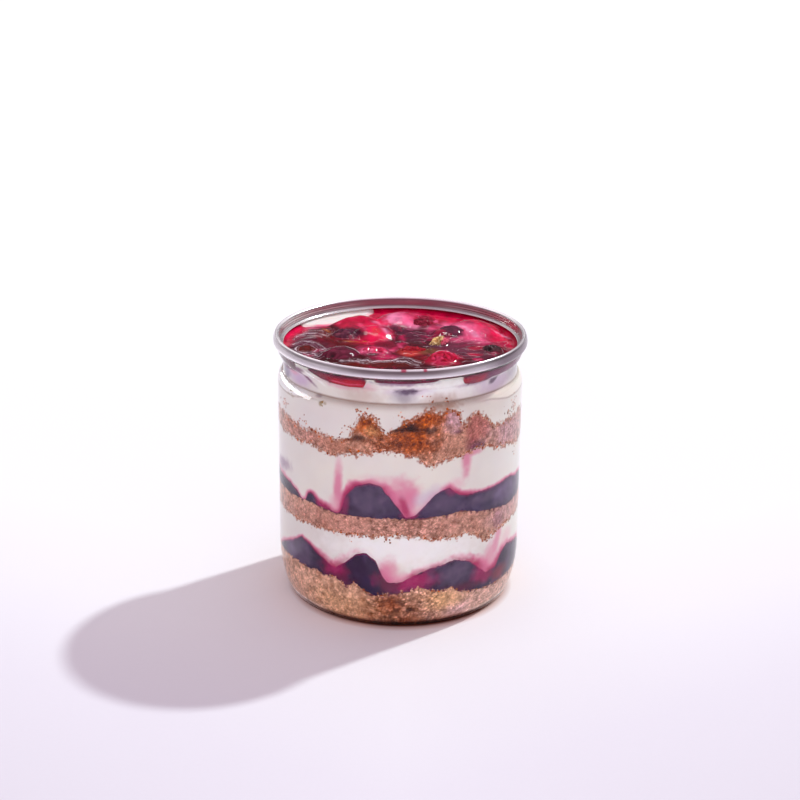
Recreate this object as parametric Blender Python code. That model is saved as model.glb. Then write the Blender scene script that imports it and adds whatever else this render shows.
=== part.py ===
# A layered cheesecake in a clear jar: biscuit crumb, berry compote and cream in three rounds,
# topped with berries in compote, in a PET jar with an open seamed metal rim.
# The jar stands on z = 0 with its axis on Z, and the side that shows most faces -Y.
# Sizes are in millimetres and turn into metres where the points are made.
# Angles are degrees from the front (-Y) towards +X.
import math

import bpy
from mathutils import Vector, geometry, noise

MM = 0.001
SEGMENTS = 54
GAP = 0.3
THINNEST = 0.9
SHARP_ANGLE = 40

# The seamed rim
RIM_RADIUS = 38.4
RIM_TOP = 81.7
RIM_SKIRT = 2.75
RIM_METAL = 0.35
BEAD_WIDTH = 1.7
BEAD_ROUND = 0.8
BEAD_TURNS = (0, 45, 90, 135, 180)
SKIRT_CHAMFER = 0.15
CHUCK_FOOT_RADIUS = 36.45
CHUCK_FOOT_Z = 79.5
LIP_RADIUS = 35.3
LIP_Z = 78.7
LIP_METAL = 0.3
LIP_CURVE = 0.4
LIP_SLOPE = 0.12
LIP_UNDER = 0.2
CHUCK_UNDER = 0.1

# The clear jar
WALL = 0.6
BODY_RADIUS = 37.15
FOOT_RADIUS = 32.8
HEEL_HEIGHT = 17.0
HEEL_EASE = 2.6
HEEL_START = 1.2
HEEL_SHARES = (0.02, 0.10, 0.28, 0.58, 1.0)
HEEL_LIFT = 0.05
FOOT_INNER_RADIUS = 27.5
PUSH_UP = 1.1
PUSH_UP_SLOPE = 1.4
SHOULDER_Z = 66.6
GROOVE_Z = 70.7
SHOULDER_TURNS = (35, 65, 90)
SHOULDER_SHARE = 0.93
NECK_RADIUS = 35.5
FLARE_Z = 74.7
FLARE_POWER = 0.5
FLARE_SHARES = (0.35, 0.75)
FLANGE_RADIUS = 37.75
FLANGE_FOOT_Z = 79.0
FLANGE_TOP = 80.7
FLANGE_WALL = 0.4
FLANGE_STEP = 0.2

# Rings on which the heights of the layers are set, inside the one at the wall
INNER_RINGS = (14.5, 28.0)
MOUND_CENTRE_RADIUS = 36.0
DOME_POWER = 0.7

# The compote on top: its level, the basin that it fills, and the spacing of its surface's points
COMPOTE_LEVEL = 77.2
BASIN_FLOOR = 69.6
BASIN_RADIUS = 28.0
BASIN_EDGE_RADIUS = 34.5
TOP_SPACING = 4.2

# The bare patch where the upper cream comes up through the compote
PATCH_START = -166.0
PATCH_END = -120.0
PATCH_DEPTH = 7.5
PATCH_ENDS = 1.0
PATCH_ROUND = 0.8
PATCH_STEPS = 12
PATCH_FOOT_Z = 68.5
PATCH_FOOT_RADIUS = 33.2
PATCH_FOOT_SPREAD = 0.6
PATCH_LEVEL = 77.3
PATCH_SLOPE = 0.3
PATCH_NECK_RADIUS = 34.3
PATCH_EDGE_RADIUS = 35.75

# Mounds are (angle, height, half width) on the wall; a dip has a negative height
CRUMB_BASE_TOP = {
    "level": 12.1, "tilt": -0.10,
    "mounds": ((-38, 0.9, 9), (10, 1.5, 7), (26, 1.4, 5), (-12, -1.3, 4), (120, 1.6, 10), (-150, 1.8, 12)),
}
COMPOTE_LOWER_TOP = {
    "level": 15.0, "tilt": -0.055,
    "mounds": ((-52, 7.2, 13.5), (-17, 9.2, 6.8), (9, 3.2, 8), (27, 7.2, 10.5), (65, 7.2, 9.5),
               (101, 6.0, 12), (136, 8.4, 9), (171, 6.6, 12), (-153, 9.0, 10), (-112, 7.0, 13)),
}
CRUMB_MIDDLE_BOTTOM = {
    "level": 29.5, "tilt": 0.0,
    "mounds": ((-3, 1.4, 5), (47, -4.2, 4.5), (20, -1.0, 8), (110, 1.5, 9), (150, -1.6, 8), (-120, -1.3, 10)),
}
CRUMB_MIDDLE_TOP = {
    "level": 35.5, "tilt": -0.035,
    "mounds": ((-45, 0.5, 7), (12, 0.5, 6), (32, 1.2, 8), (95, 1.0, 9), (-160, 1.2, 11)),
}
COMPOTE_MIDDLE_TOP = {
    "level": 36.5, "tilt": -0.035,
    "mounds": ((-75, 3.4, 14), (-45, 3.0, 3.4), (-12, 10.4, 10.6), (22, 8.6, 9.4), (42, 6.0, 13),
               (63, 7.0, 12), (96, 4.6, 13), (127, 8.6, 10), (160, 5.6, 12), (-164, 9.6, 10.5),
               (-124, 6.4, 13)),
}
CRUMB_UPPER_BOTTOM = {
    "level": 55.3, "tilt": -0.015,
    "mounds": ((-2, 1.7, 7), (14, -3.8, 5.5), (-33, -1.7, 6), (64, -2.4, 10), (118, 1.8, 9), (165, -2.6, 9),
               (-110, -1.6, 10)),
}
CRUMB_UPPER_TOP = {
    "level": 58.8, "tilt": 0.01,
    "mounds": ((-15, 8.2, 4.8), (13, 8.8, 10.5), (26, 8.4, 6), (38, 7.0, 6), (65, 1.6, 11), (-60, 1.2, 9),
               (110, 5.0, 10), (152, 7.4, 7), (-150, 6.0, 11)),
}
COMPOTE_TOP_BOTTOM = {
    "level": 76.0, "tilt": 0.0,
    "mounds": ((-29, -0.8, 11), (38, -0.8, 9), (-57, -0.7, 7), (80, -0.7, 12), (125, -0.5, 9),
               (-100, -0.7, 10)),
}

# Gel-covered rises of the topping as (x, y, height, half width)
TOP_RISES = (
    (-8.0, 10.5, 3.0, 7.0), (-14.0, 22.0, 2.1, 8.5), (0.0, 24.5, 2.7, 8.0), (22.5, 15.0, 3.2, 8.5),
    (-25.0, 3.0, 1.0, 7.0), (24.0, 0.5, 1.1, 6.5), (3.5, 7.0, 0.9, 5.5),
)

# Fruit in the topping as (x, y, semi-axes, height above the compote, wrinkle, turn)
FRUIT = {
    "berry_front_left": (-17.6, -12.2, (7.2, 6.3, 4.7), 2.6, 0.25, 20),
    "berry_left": (-17.0, 7.0, (5.2, 5.0, 4.3), 2.7, 0.45, 75),
    "berry_right": (15.6, 10.2, (5.6, 5.2, 4.4), 2.9, 0.25, 130),
    "berry_far_right": (27.4, -5.4, (4.0, 3.7, 3.1), 1.7, 0.3, 10),
    "berry_back": (6.6, 20.2, (4.0, 3.8, 3.4), 2.6, 0.45, 50),
    "berry_middle": (-1.0, 14.0, (3.8, 3.5, 3.1), 1.6, 0.3, 110),
    "berry_far_left": (-28.4, -4.2, (4.2, 4.6, 3.3), 1.0, 0.2, 0),
    "fruit_front": (12.6, -15.0, (5.4, 4.4, 3.7), 2.7, 0.8, 35),
    "fruit_shred": (-7.4, -8.2, (5.0, 3.3, 2.4), 1.7, 0.7, -20),
    "fruit_pulp": (4.0, -6.6, (4.9, 3.2, 2.2), 1.3, 0.7, 15),
    "biscuit_piece": (12.0, 0.4, (3.4, 1.7, 1.9), 2.5, 0.5, 38),
}
FRUIT_AROUND = 10
FRUIT_UP = 7
FRUIT_LUMPS = 1.9

# Colours with their roughness and metallic value
FINISHES = {
    "clear_pet": ((0.90, 0.93, 0.95, 1.0), 0.05, 0.0),
    "rim_metal": ((0.78, 0.76, 0.78, 1.0), 0.25, 1.0),
    "crumb": ((0.42, 0.19, 0.09, 1.0), 0.90, 0.0),
    "cream": ((0.86, 0.80, 0.76, 1.0), 0.45, 0.0),
    "compote": ((0.10, 0.01, 0.05, 1.0), 0.20, 0.0),
    "compote_gloss": ((0.45, 0.01, 0.04, 1.0), 0.12, 0.0),
    "berry_skin": ((0.06, 0.01, 0.03, 1.0), 0.18, 0.0),
    "red_fruit": ((0.50, 0.01, 0.03, 1.0), 0.20, 0.0),
    "biscuit": ((0.65, 0.36, 0.12, 1.0), 0.80, 0.0),
}


def clear_scene():
    for old in list(bpy.data.objects):
        bpy.data.objects.remove(old, do_unlink=True)


def finish_material(name):
    material = bpy.data.materials.get(name)
    if material:
        return material
    colour, roughness, metallic = FINISHES[name]
    material = bpy.data.materials.new(name)
    material.use_nodes = True
    shader = material.node_tree.nodes["Principled BSDF"]
    shader.inputs["Base Color"].default_value = colour
    shader.inputs["Roughness"].default_value = roughness
    shader.inputs["Metallic"].default_value = metallic
    return material


# A named object from points in millimetres and its faces, shaded smooth
def make_object(name, points, faces, finish, parent, place=(0.0, 0.0, 0.0)):
    mesh = bpy.data.meshes.new(name)
    mesh.from_pydata([Vector(p) * MM for p in points], [], faces)
    mesh.validate()
    mesh.materials.append(finish_material(finish))
    mesh.shade_smooth()
    mesh.set_sharp_from_angle(angle=math.radians(SHARP_ANGLE))
    made = bpy.data.objects.new(name, mesh)
    made.location = Vector(place) * MM
    made.parent = parent
    bpy.context.collection.objects.link(made)
    return made


def on_circle(radius, angle, z):
    turn = math.radians(angle)
    return (radius * math.sin(turn), -radius * math.cos(turn), z)


def segment_angle(index):
    return 360.0 * index / SEGMENTS


def level_ring(radius, z):
    return [on_circle(radius, segment_angle(i), z) for i in range(SEGMENTS)]


# Two triangles for each four-sided stretch between two rings. The diagonal is turned over
# on upward faces, so that the two faces of a seam between layers are split alike.
def band_faces(first, second, turned):
    faces = []
    for i in range(SEGMENTS):
        j = (i + 1) % SEGMENTS
        a, b, c, d = first + i, first + j, second + j, second + i
        faces += [(a, b, d), (b, c, d)] if turned else [(a, b, c), (a, c, d)]
    return faces


# A closed solid from its lowest middle point, outwards and up through rings, to its top middle.
# From the ring numbered turned_from on, the diagonals are turned over.
def ringed_solid(name, low_middle, rings, top_middle, turned_from, finish, parent):
    points = [low_middle]
    for ring in rings:
        points += ring
    points.append(top_middle)
    last = len(points) - 1
    faces = []
    for i in range(SEGMENTS):
        j = (i + 1) % SEGMENTS
        faces.append((0, 1 + j, 1 + i))
        top = 1 + (len(rings) - 1) * SEGMENTS
        faces.append((last, top + i, top + j))
    for number in range(len(rings) - 1):
        start = 1 + number * SEGMENTS
        faces += band_faces(start, start + SEGMENTS, number >= turned_from)
    return make_object(name, points, faces, finish, parent)


# The jar's outer profile from the foot to the flange, as (radius, z)
def jar_outside():
    heel = []
    heel_radius = FOOT_RADIUS + HEEL_START
    for share in HEEL_SHARES:
        swell = 1.0 - (1.0 - share) ** HEEL_EASE
        heel.append((heel_radius + (BODY_RADIUS - heel_radius) * swell, HEEL_HEIGHT * share))
    shoulder = []
    drop = BODY_RADIUS - NECK_RADIUS
    rise = (GROOVE_Z - SHOULDER_Z) * SHOULDER_SHARE
    for turn in SHOULDER_TURNS:
        angle = math.radians(turn)
        shoulder.append((BODY_RADIUS - drop * (1.0 - math.cos(angle)), SHOULDER_Z + rise * math.sin(angle)))
    flare = []
    for share in FLARE_SHARES:
        spread = (FLANGE_RADIUS - NECK_RADIUS) * share ** FLARE_POWER
        flare.append((NECK_RADIUS + spread, FLARE_Z + (FLANGE_FOOT_Z - FLARE_Z) * share))
    foot = [(FOOT_INNER_RADIUS - PUSH_UP_SLOPE, PUSH_UP), (FOOT_INNER_RADIUS, 0.0), (FOOT_RADIUS, 0.0)]
    neck = [(NECK_RADIUS, FLARE_Z)]
    flange = [(FLANGE_RADIUS, FLANGE_FOOT_Z), (FLANGE_RADIUS, FLANGE_TOP)]
    return foot + heel + [(BODY_RADIUS, SHOULDER_Z)] + shoulder + neck + flare + flange


# The same profile moved inwards by the wall, square to itself
def moved_inwards(profile, wall):
    moved = []
    for number, (radius, z) in enumerate(profile):
        before = profile[max(number - 1, 0)]
        after = profile[min(number + 1, len(profile) - 1)]
        along = Vector((after[0] - before[0], after[1] - before[1])).normalized()
        moved.append((radius - along.y * wall, z + along.x * wall))
    return moved


def jar_inside():
    outside = jar_outside()
    inside = moved_inwards(outside[:-2], WALL)
    inside[0] = (outside[0][0] - WALL / 2, PUSH_UP + WALL)
    inside.append((FLANGE_RADIUS - FLANGE_WALL, FLANGE_FOOT_Z + FLANGE_STEP))
    inside.append((FLANGE_RADIUS - FLANGE_WALL, FLANGE_TOP))
    return inside


def build_jar(parent):
    outside = [level_ring(radius, z) for radius, z in jar_outside()]
    inside = [level_ring(radius, z) for radius, z in reversed(jar_inside())]
    middle_low = (0.0, 0.0, PUSH_UP)
    middle_top = (0.0, 0.0, PUSH_UP + WALL)
    rings = outside + inside
    return ringed_solid("jar", middle_low, rings, middle_top, len(rings), "clear_pet", parent)


# The inside radius of the jar at a height, from its profile
def inner_radius(z):
    profile = jar_inside()[3:]
    for (radius_low, z_low), (radius_high, z_high) in zip(profile, profile[1:]):
        if z_low <= z <= z_high:
            share = (z - z_low) / (z_high - z_low)
            return radius_low + (radius_high - radius_low) * share
    return profile[0][0] if z < profile[0][1] else profile[-1][0]


def build_rim(parent):
    crest = RIM_RADIUS - BEAD_WIDTH / 2
    inner = RIM_RADIUS - BEAD_WIDTH
    channel = BEAD_WIDTH / 2 - RIM_METAL
    side_top = RIM_TOP - BEAD_ROUND
    skirt_foot = RIM_TOP - RIM_SKIRT
    profile = [(RIM_RADIUS - RIM_METAL, skirt_foot), (RIM_RADIUS, skirt_foot + SKIRT_CHAMFER)]
    for turn in BEAD_TURNS:
        angle = math.radians(turn)
        profile.append((crest + BEAD_WIDTH / 2 * math.cos(angle), side_top + BEAD_ROUND * math.sin(angle)))
    profile += [(CHUCK_FOOT_RADIUS, CHUCK_FOOT_Z), (CHUCK_FOOT_RADIUS - LIP_CURVE, LIP_Z + LIP_SLOPE)]
    profile += [(LIP_RADIUS, LIP_Z), (LIP_RADIUS, LIP_Z - LIP_METAL)]
    profile += [(CHUCK_FOOT_RADIUS - LIP_UNDER, LIP_Z - LIP_METAL)]
    profile += [(CHUCK_FOOT_RADIUS + RIM_METAL, CHUCK_FOOT_Z - CHUCK_UNDER), (inner + RIM_METAL, side_top)]
    profile += [(crest, side_top + BEAD_ROUND - RIM_METAL), (crest + channel, side_top)]
    points = []
    for radius, z in profile:
        points += level_ring(radius, z)
    faces = []
    for number in range(len(profile)):
        after = (number + 1) % len(profile)
        faces += band_faces(number * SEGMENTS, after * SEGMENTS, False)
    return make_object("rim_ring", points, faces, "rim_metal", parent)


# A dome of height 1 at its middle that ends at distance 1
def dome(distance):
    return max(0.0, 1.0 - distance * distance) ** DOME_POWER


def seam_height(seam, x, y):
    rise, fall = 0.0, 0.0
    for angle, height, width in seam["mounds"]:
        cx, cy, _ = on_circle(MOUND_CENTRE_RADIUS, angle, 0.0)
        lift = height * dome(math.hypot(x - cx, y - cy) / width)
        rise, fall = max(rise, lift), min(fall, lift)
    return seam["level"] + seam["tilt"] * x + rise + fall


# The topping's lower face rises from the basin's floor to the wall
def basin_height(x, y):
    edge = seam_height(COMPOTE_TOP_BOTTOM, x, y)
    share = (math.hypot(x, y) - BASIN_RADIUS) / (BASIN_EDGE_RADIUS - BASIN_RADIUS)
    return BASIN_FLOOR + (edge - BASIN_FLOOR) * min(1.0, max(0.0, share))


# Heights of one seam: its middle, its inner rings and its ring at the wall.
# A seam stays at least THINNEST above the one under it.
def seam_heights(height_at, under):
    rings = []
    for number, radius in enumerate(INNER_RINGS + (MOUND_CENTRE_RADIUS,)):
        heights = []
        for i in range(SEGMENTS):
            x, y, _ = on_circle(radius, segment_angle(i), 0.0)
            heights.append(height_at(x, y))
        if under:
            heights = [max(z, low + THINNEST) for z, low in zip(heights, under["rings"][number])]
        rings.append(heights)
    middle = height_at(0.0, 0.0)
    if under:
        middle = max(middle, under["middle"] + THINNEST)
    return {"middle": middle, "rings": rings}


# The rings of points of one seam, moved up or down by half the gap, from the middle outwards
def seam_rings(heights, move):
    rings = []
    for radius, level in zip(INNER_RINGS, heights["rings"]):
        rings.append([on_circle(radius, segment_angle(i), z + move) for i, z in enumerate(level)])
    edge = [z + move for z in heights["rings"][-1]]
    rings.append([on_circle(inner_radius(z) - GAP, segment_angle(i), z) for i, z in enumerate(edge)])
    return rings


# Rings at fixed heights down the side of a layer, where the wall of the jar bends
def side_rings(levels):
    return [level_ring(inner_radius(z) - GAP, z) for z in levels]


def build_layer(name, low, high, finish, parent, side_levels=()):
    bottom = seam_rings(low, GAP / 2)
    top = seam_rings(high, -GAP / 2)
    rings = bottom + side_rings(side_levels) + top[::-1]
    turned_from = len(bottom) + len(side_levels)
    low_middle = (0.0, 0.0, low["middle"] + GAP / 2)
    top_middle = (0.0, 0.0, high["middle"] - GAP / 2)
    return ringed_solid(name, low_middle, rings, top_middle, turned_from, finish, parent)


# The lowest crumb layer lies on the floor of the jar and fills its heel
def build_crumb_base(high, parent):
    inside = jar_inside()
    floor = [(radius, z + GAP) for radius, z in inside[:3]]
    floor[2] = (inside[2][0] - GAP, inside[2][1] + GAP)
    heel = [(radius - GAP, z + HEEL_LIFT) for radius, z in inside[4:6]]
    rings = [level_ring(radius, z) for radius, z in floor + heel]
    top = seam_rings(high, -GAP / 2)
    low_middle = (0.0, 0.0, PUSH_UP + WALL + GAP)
    top_middle = (0.0, 0.0, high["middle"] - GAP / 2)
    turned_from = len(rings)
    return ringed_solid("crumb_base", low_middle, rings + top[::-1], top_middle, turned_from, "crumb", parent)


def topping_height(x, y):
    rise = 0.0
    for cx, cy, height, width in TOP_RISES:
        rise = max(rise, height * dome(math.hypot(x - cx, y - cy) / width))
    return COMPOTE_LEVEL + rise


# Evenly spread points on a disc: the given rim, and rings of points inside it
def spread_points(rim):
    flat = [Vector((x, y)) for x, y, _ in rim]
    radius = rim_radius = flat[0].length
    while radius > TOP_SPACING:
        radius -= TOP_SPACING
        count = max(6, round(2 * math.pi * radius / TOP_SPACING))
        for i in range(count):
            x, y, _ = on_circle(radius, 360.0 * (i + radius / rim_radius) / count, 0.0)
            flat.append(Vector((x, y)))
    return flat


def build_compote_top(low, parent):
    bottom = seam_rings(low, GAP / 2)
    rim = level_ring(inner_radius(COMPOTE_LEVEL) - GAP, COMPOTE_LEVEL)
    points = [(0.0, 0.0, low["middle"] + GAP / 2)]
    for ring in bottom:
        points += ring
    faces = [(0, 1 + (i + 1) % SEGMENTS, 1 + i) for i in range(SEGMENTS)]
    for number in range(len(bottom)):
        start = 1 + number * SEGMENTS
        faces += band_faces(start, start + SEGMENTS, False)
    surface_start = len(points)
    flat = spread_points(rim)
    spread, _, triangles, _, _, _ = geometry.delaunay_2d_cdt(flat, [], [], 0, 0.0001)
    points += [(x, y, topping_height(x, y)) for x, y in spread]
    faces += [tuple(surface_start + corner for corner in face) for face in triangles]
    return make_object("compote_top", points, faces, "compote_gloss", parent)


# An uneven round fruit, grown all round by the given amount where it is a cutter
def fruit_points(semi_axes, wrinkle, grow):
    points = [(0.0, 0.0, -semi_axes[2] - grow)]
    for level in range(1, FRUIT_UP):
        tip = math.pi * level / FRUIT_UP
        for around in range(FRUIT_AROUND):
            turn = 2.0 * math.pi * around / FRUIT_AROUND
            way = Vector((math.sin(tip) * math.cos(turn), math.sin(tip) * math.sin(turn), -math.cos(tip)))
            uneven = wrinkle * noise.noise(way * FRUIT_LUMPS + Vector(semi_axes))
            points.append(tuple(way[k] * (semi_axes[k] + grow + uneven) for k in range(3)))
    points.append((0.0, 0.0, semi_axes[2] + grow))
    return points


def fruit_faces():
    faces = []
    last = 1 + (FRUIT_UP - 1) * FRUIT_AROUND
    for i in range(FRUIT_AROUND):
        j = (i + 1) % FRUIT_AROUND
        faces.append((0, 1 + j, 1 + i))
        faces.append((last, last - FRUIT_AROUND + i, last - FRUIT_AROUND + j))
        for level in range(FRUIT_UP - 2):
            low = 1 + level * FRUIT_AROUND
            high = low + FRUIT_AROUND
            faces += [(low + i, low + j, high + j), (low + i, high + j, high + i)]
    return faces


def fruit_finish(name):
    if name.startswith("biscuit"):
        return "biscuit"
    return "red_fruit" if name.startswith("fruit") else "berry_skin"


def place_fruit(name, grow, parent):
    x, y, semi_axes, above, wrinkle, turn = FRUIT[name]
    place = (x, y, COMPOTE_LEVEL + above - semi_axes[2])
    points = fruit_points(semi_axes, wrinkle, grow)
    title = name + "_hollow" if grow else name
    made = make_object(title, points, fruit_faces(), fruit_finish(name), parent, place)
    made.rotation_euler.z = math.radians(turn)
    return made


# The bare patch of cream beside the wall, as a curved block: larger where it is a cutter
def patch_block(name, grow, parent):
    points = []
    for step in range(PATCH_STEPS + 1):
        share = step / PATCH_STEPS
        spread = math.degrees(grow / BODY_RADIUS)
        angle = PATCH_START - spread + (PATCH_END - PATCH_START + 2 * spread) * share
        depth = PATCH_ENDS + PATCH_DEPTH * math.sin(math.pi * share) ** PATCH_ROUND
        inner = PATCH_EDGE_RADIUS - depth - grow
        top = RIM_TOP if grow else PATCH_LEVEL
        outer = [BODY_RADIUS + grow] * 3
        if not grow:
            outer = [PATCH_FOOT_RADIUS + PATCH_FOOT_SPREAD, PATCH_NECK_RADIUS, inner_radius(top) - GAP]
        points.append(on_circle(min(inner, PATCH_FOOT_RADIUS - grow), angle, PATCH_FOOT_Z))
        points.append(on_circle(outer[0], angle, PATCH_FOOT_Z))
        points.append(on_circle(outer[1], angle, FLARE_Z))
        points.append(on_circle(outer[2], angle, top))
        points.append(on_circle(inner, angle, top - PATCH_SLOPE))
    corners = 5
    faces = [tuple(range(corners))]
    for step in range(PATCH_STEPS):
        a = step * corners
        b = a + corners
        for k in range(corners):
            m = (k + 1) % corners
            faces.append((a + k, b + k, b + m, a + m))
    end = PATCH_STEPS * corners
    faces.append(tuple(reversed(range(end, end + corners))))
    return make_object(name, points, faces, "cream", parent)


def add_boolean(target, other, operation):
    step = target.modifiers.new(operation.lower() + "_" + other.name, "BOOLEAN")
    step.operation = operation
    step.solver = "MANIFOLD" if operation == "UNION" else "EXACT"
    step.object = other
    other.hide_render = True
    other.display_type = "WIRE"


def build_cup():
    clear_scene()
    cup = bpy.data.objects.new("cheesecake_cup", None)
    bpy.context.collection.objects.link(cup)
    build_jar(cup)
    build_rim(cup)

    seams = []
    shapes = (CRUMB_BASE_TOP, COMPOTE_LOWER_TOP, CRUMB_MIDDLE_BOTTOM, CRUMB_MIDDLE_TOP,
              COMPOTE_MIDDLE_TOP, CRUMB_UPPER_BOTTOM, CRUMB_UPPER_TOP)
    for shape in shapes:
        under = seams[-1] if seams else None
        seams.append(seam_heights(lambda x, y, s=shape: seam_height(s, x, y), under))
    seams.append(seam_heights(basin_height, seams[-1]))

    build_crumb_base(seams[0], cup)
    build_layer("compote_lower", seams[0], seams[1], "compote", cup)
    build_layer("cream_lower", seams[1], seams[2], "cream", cup)
    build_layer("crumb_middle", seams[2], seams[3], "crumb", cup)
    build_layer("compote_middle", seams[3], seams[4], "compote", cup)
    build_layer("cream_middle", seams[4], seams[5], "cream", cup)
    build_layer("crumb_upper", seams[5], seams[6], "crumb", cup)
    bends = [z for _, z in jar_inside() if SHOULDER_Z + WALL < z < FLARE_Z + GAP]
    cream_upper = build_layer("cream_upper", seams[6], seams[7], "cream", cup, bends)
    compote_top = build_compote_top(seams[7], cup)

    add_boolean(cream_upper, patch_block("patch_fill", 0.0, cup), "UNION")
    add_boolean(compote_top, patch_block("patch_room", GAP, cup), "DIFFERENCE")
    for name in FRUIT:
        place_fruit(name, 0.0, cup)
        add_boolean(compote_top, place_fruit(name, GAP, cup), "DIFFERENCE")


build_cup()
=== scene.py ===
# A layered cheesecake in a clear jar: crumb, berry compote and cream in rounds, with berries in gel on top.
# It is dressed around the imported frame. Sizes here are in millimetres and angles are degrees from the
# front (-Y) towards +X; points turn into metres where a mesh is made.
import math

import bmesh
import bpy
import numpy as np
from mathutils import Matrix, Vector


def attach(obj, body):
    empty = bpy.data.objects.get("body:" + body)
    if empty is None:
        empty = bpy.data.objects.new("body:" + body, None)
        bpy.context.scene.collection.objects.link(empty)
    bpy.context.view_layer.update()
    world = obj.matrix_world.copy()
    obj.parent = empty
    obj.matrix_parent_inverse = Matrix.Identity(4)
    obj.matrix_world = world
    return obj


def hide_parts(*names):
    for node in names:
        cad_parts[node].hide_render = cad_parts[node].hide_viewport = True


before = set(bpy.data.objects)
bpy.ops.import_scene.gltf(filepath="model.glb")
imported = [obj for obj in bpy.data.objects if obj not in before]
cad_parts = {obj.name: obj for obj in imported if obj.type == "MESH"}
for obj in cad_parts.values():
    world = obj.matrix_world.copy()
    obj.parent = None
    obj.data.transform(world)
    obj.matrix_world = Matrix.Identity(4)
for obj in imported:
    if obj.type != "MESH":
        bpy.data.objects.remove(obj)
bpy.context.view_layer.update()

mm = 0.001
columns = 720
angles = np.arange(columns) * 360 / columns
signedAngles = (angles + 180) % 360 - 180
noiseCells = 32
noiseLattice = np.random.default_rng(41).random((noiseCells, noiseCells, noiseCells))


def smoothStep(low, high, value):
    share = np.clip((value - low) / (high - low), 0, 1)
    return share * share * (3 - 2 * share)


def onCircle(radius, angle, z):
    turn = np.radians(angle)
    return np.stack(np.broadcast_arrays(radius * np.sin(turn), -radius * np.cos(turn), z), -1)


def angleBetween(angle, middle):
    return (angle - middle + 180) % 360 - 180


# Smooth noise from -1 to 1 at points in millimetres; size is the width of its lumps
def lumps(points, size, seed=0, octaves=1):
    total, weight = 0.0, 0.0
    for octave in range(octaves):
        place = points * (2 ** octave / size) + 17.3 * seed + 5.1 * octave
        cell = np.floor(place).astype(int)
        inside = place - cell
        inside = inside * inside * (3 - 2 * inside)
        value = 0.0
        for corner in np.ndindex(2, 2, 2):
            share = np.prod(np.where(corner, inside, 1 - inside), axis=-1)
            where = (cell + corner) % noiseCells
            value = value + share * noiseLattice[where[..., 0], where[..., 1], where[..., 2]]
        total = total + (2 * value - 1) / 2 ** octave
        weight += 1 / 2 ** octave
    return total / weight


# Grains like those of crumbs: each one's own lightness, 0 to 1, and how far a point is from the gap
# between two of them
def grainCells(points, size, seed):
    place = points / size + 9.7 * seed
    cell = np.floor(place).astype(int)
    nearest = np.full(points.shape[:-1], 9.0)
    second, own = nearest.copy(), 0 * nearest
    for step in np.ndindex(3, 3, 3):
        corner = cell + np.array(step) - 1
        i, j, k = (corner[..., axis] % noiseCells for axis in range(3))
        heart = corner + np.stack([noiseLattice[i, j, k], noiseLattice[j, k, (i + 7) % noiseCells],
                                   noiseLattice[k, (i + 13) % noiseCells, j]], -1)
        away = np.linalg.norm(place - heart, axis=-1)
        closer = away < nearest
        second = np.where(closer, nearest, np.minimum(second, away))
        own = np.where(closer, noiseLattice[(i + 3) % noiseCells, k, j], own)
        nearest = np.where(closer, away, nearest)
    return own, second - nearest


# A colour as it looks on a screen, turned into the linear colour that shaders take
def tone(red, green, blue):
    share = np.array([red, green, blue]) / 255
    return np.where(share <= 0.04045, share / 12.92, ((share + 0.055) / 1.055) ** 2.4)


def mixIn(colours, mask, paint):
    return colours + (np.asarray(paint) - colours) * np.clip(mask, 0, 1)[..., None]


# Paint mixed in where a smooth noise rises from low to high
def mottled(colours, points, strength, low, high, size, seed, octaves, paint):
    return mixIn(colours, strength * smoothStep(low, high, lumps(points, size, seed, octaves)), paint)


# 1 where the distance is 0, and less and less over the width
def bell(distance, width):
    return np.exp(-(distance / width) ** 2)


# Points of an oval arc in a profile, between two turns in degrees
def arc(middle, half, start, end, count):
    turns = np.radians(np.linspace(start, end, count))
    return [(middle[0] + half[0] * math.cos(turn), middle[1] + half[1] * math.sin(turn)) for turn in turns]


# Corners cut off a profile, so that its bends are round
def rounded(profile, times):
    for _ in range(times):
        cut = [profile[0]]
        for a, b in zip(profile, profile[1:]):
            cut.append((a[0] * 0.75 + b[0] * 0.25, a[1] * 0.75 + b[1] * 0.25))
            cut.append((a[0] * 0.25 + b[0] * 0.75, a[1] * 0.25 + b[1] * 0.75))
        profile = cut + [profile[-1]]
    return profile


def meshPiece(name, points, faces, material, colours=None, sharp=None):
    mesh = bpy.data.meshes.new(name)
    mesh.from_pydata((np.asarray(points) * mm).tolist(), [], faces)
    mesh.validate()
    mesh.materials.append(material)
    mesh.shade_smooth()
    if sharp:
        mesh.set_sharp_from_angle(angle=math.radians(sharp))
    if colours is not None:
        layer = mesh.color_attributes.new("tint", "FLOAT_COLOR", "POINT")
        flat = np.ones((len(mesh.vertices), 4), np.float32)
        flat[:, :3] = np.asarray(colours).reshape(-1, 3)
        layer.data.foreach_set("color", flat.ravel())
    piece = bpy.data.objects.new(name, mesh)
    bpy.context.scene.collection.objects.link(piece)
    return piece


# Faces between two rings of points, given the number of each ring's first point
def bandFaces(low, high, around):
    i = np.arange(around)
    j = (i + 1) % around
    return np.stack([low + i, low + j, high + j, high + i], 1).tolist()


# Faces of a skin over rings of points, from a lowest middle point (number 0) to a highest one (the last)
def ringFaces(count, around):
    last = 1 + count * around
    top = last - around
    pairs = [(i, (i + 1) % around) for i in range(around)]
    faces = [(0, 1 + b, 1 + a) for a, b in pairs]
    for ring in range(count - 1):
        faces += bandFaces(1 + ring * around, 1 + (ring + 1) * around, around)
    faces += [(last, top + a, top + b) for a, b in pairs]
    return faces


def ringParts(rings, colours):
    points = np.vstack([rings[0].mean(0)[None]] + list(rings) + [rings[-1].mean(0)[None]])
    skin = np.vstack([colours[0][:1]] + list(colours) + [colours[-1][:1]])
    return points, skin, ringFaces(len(rings), rings[0].shape[0])


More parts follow.
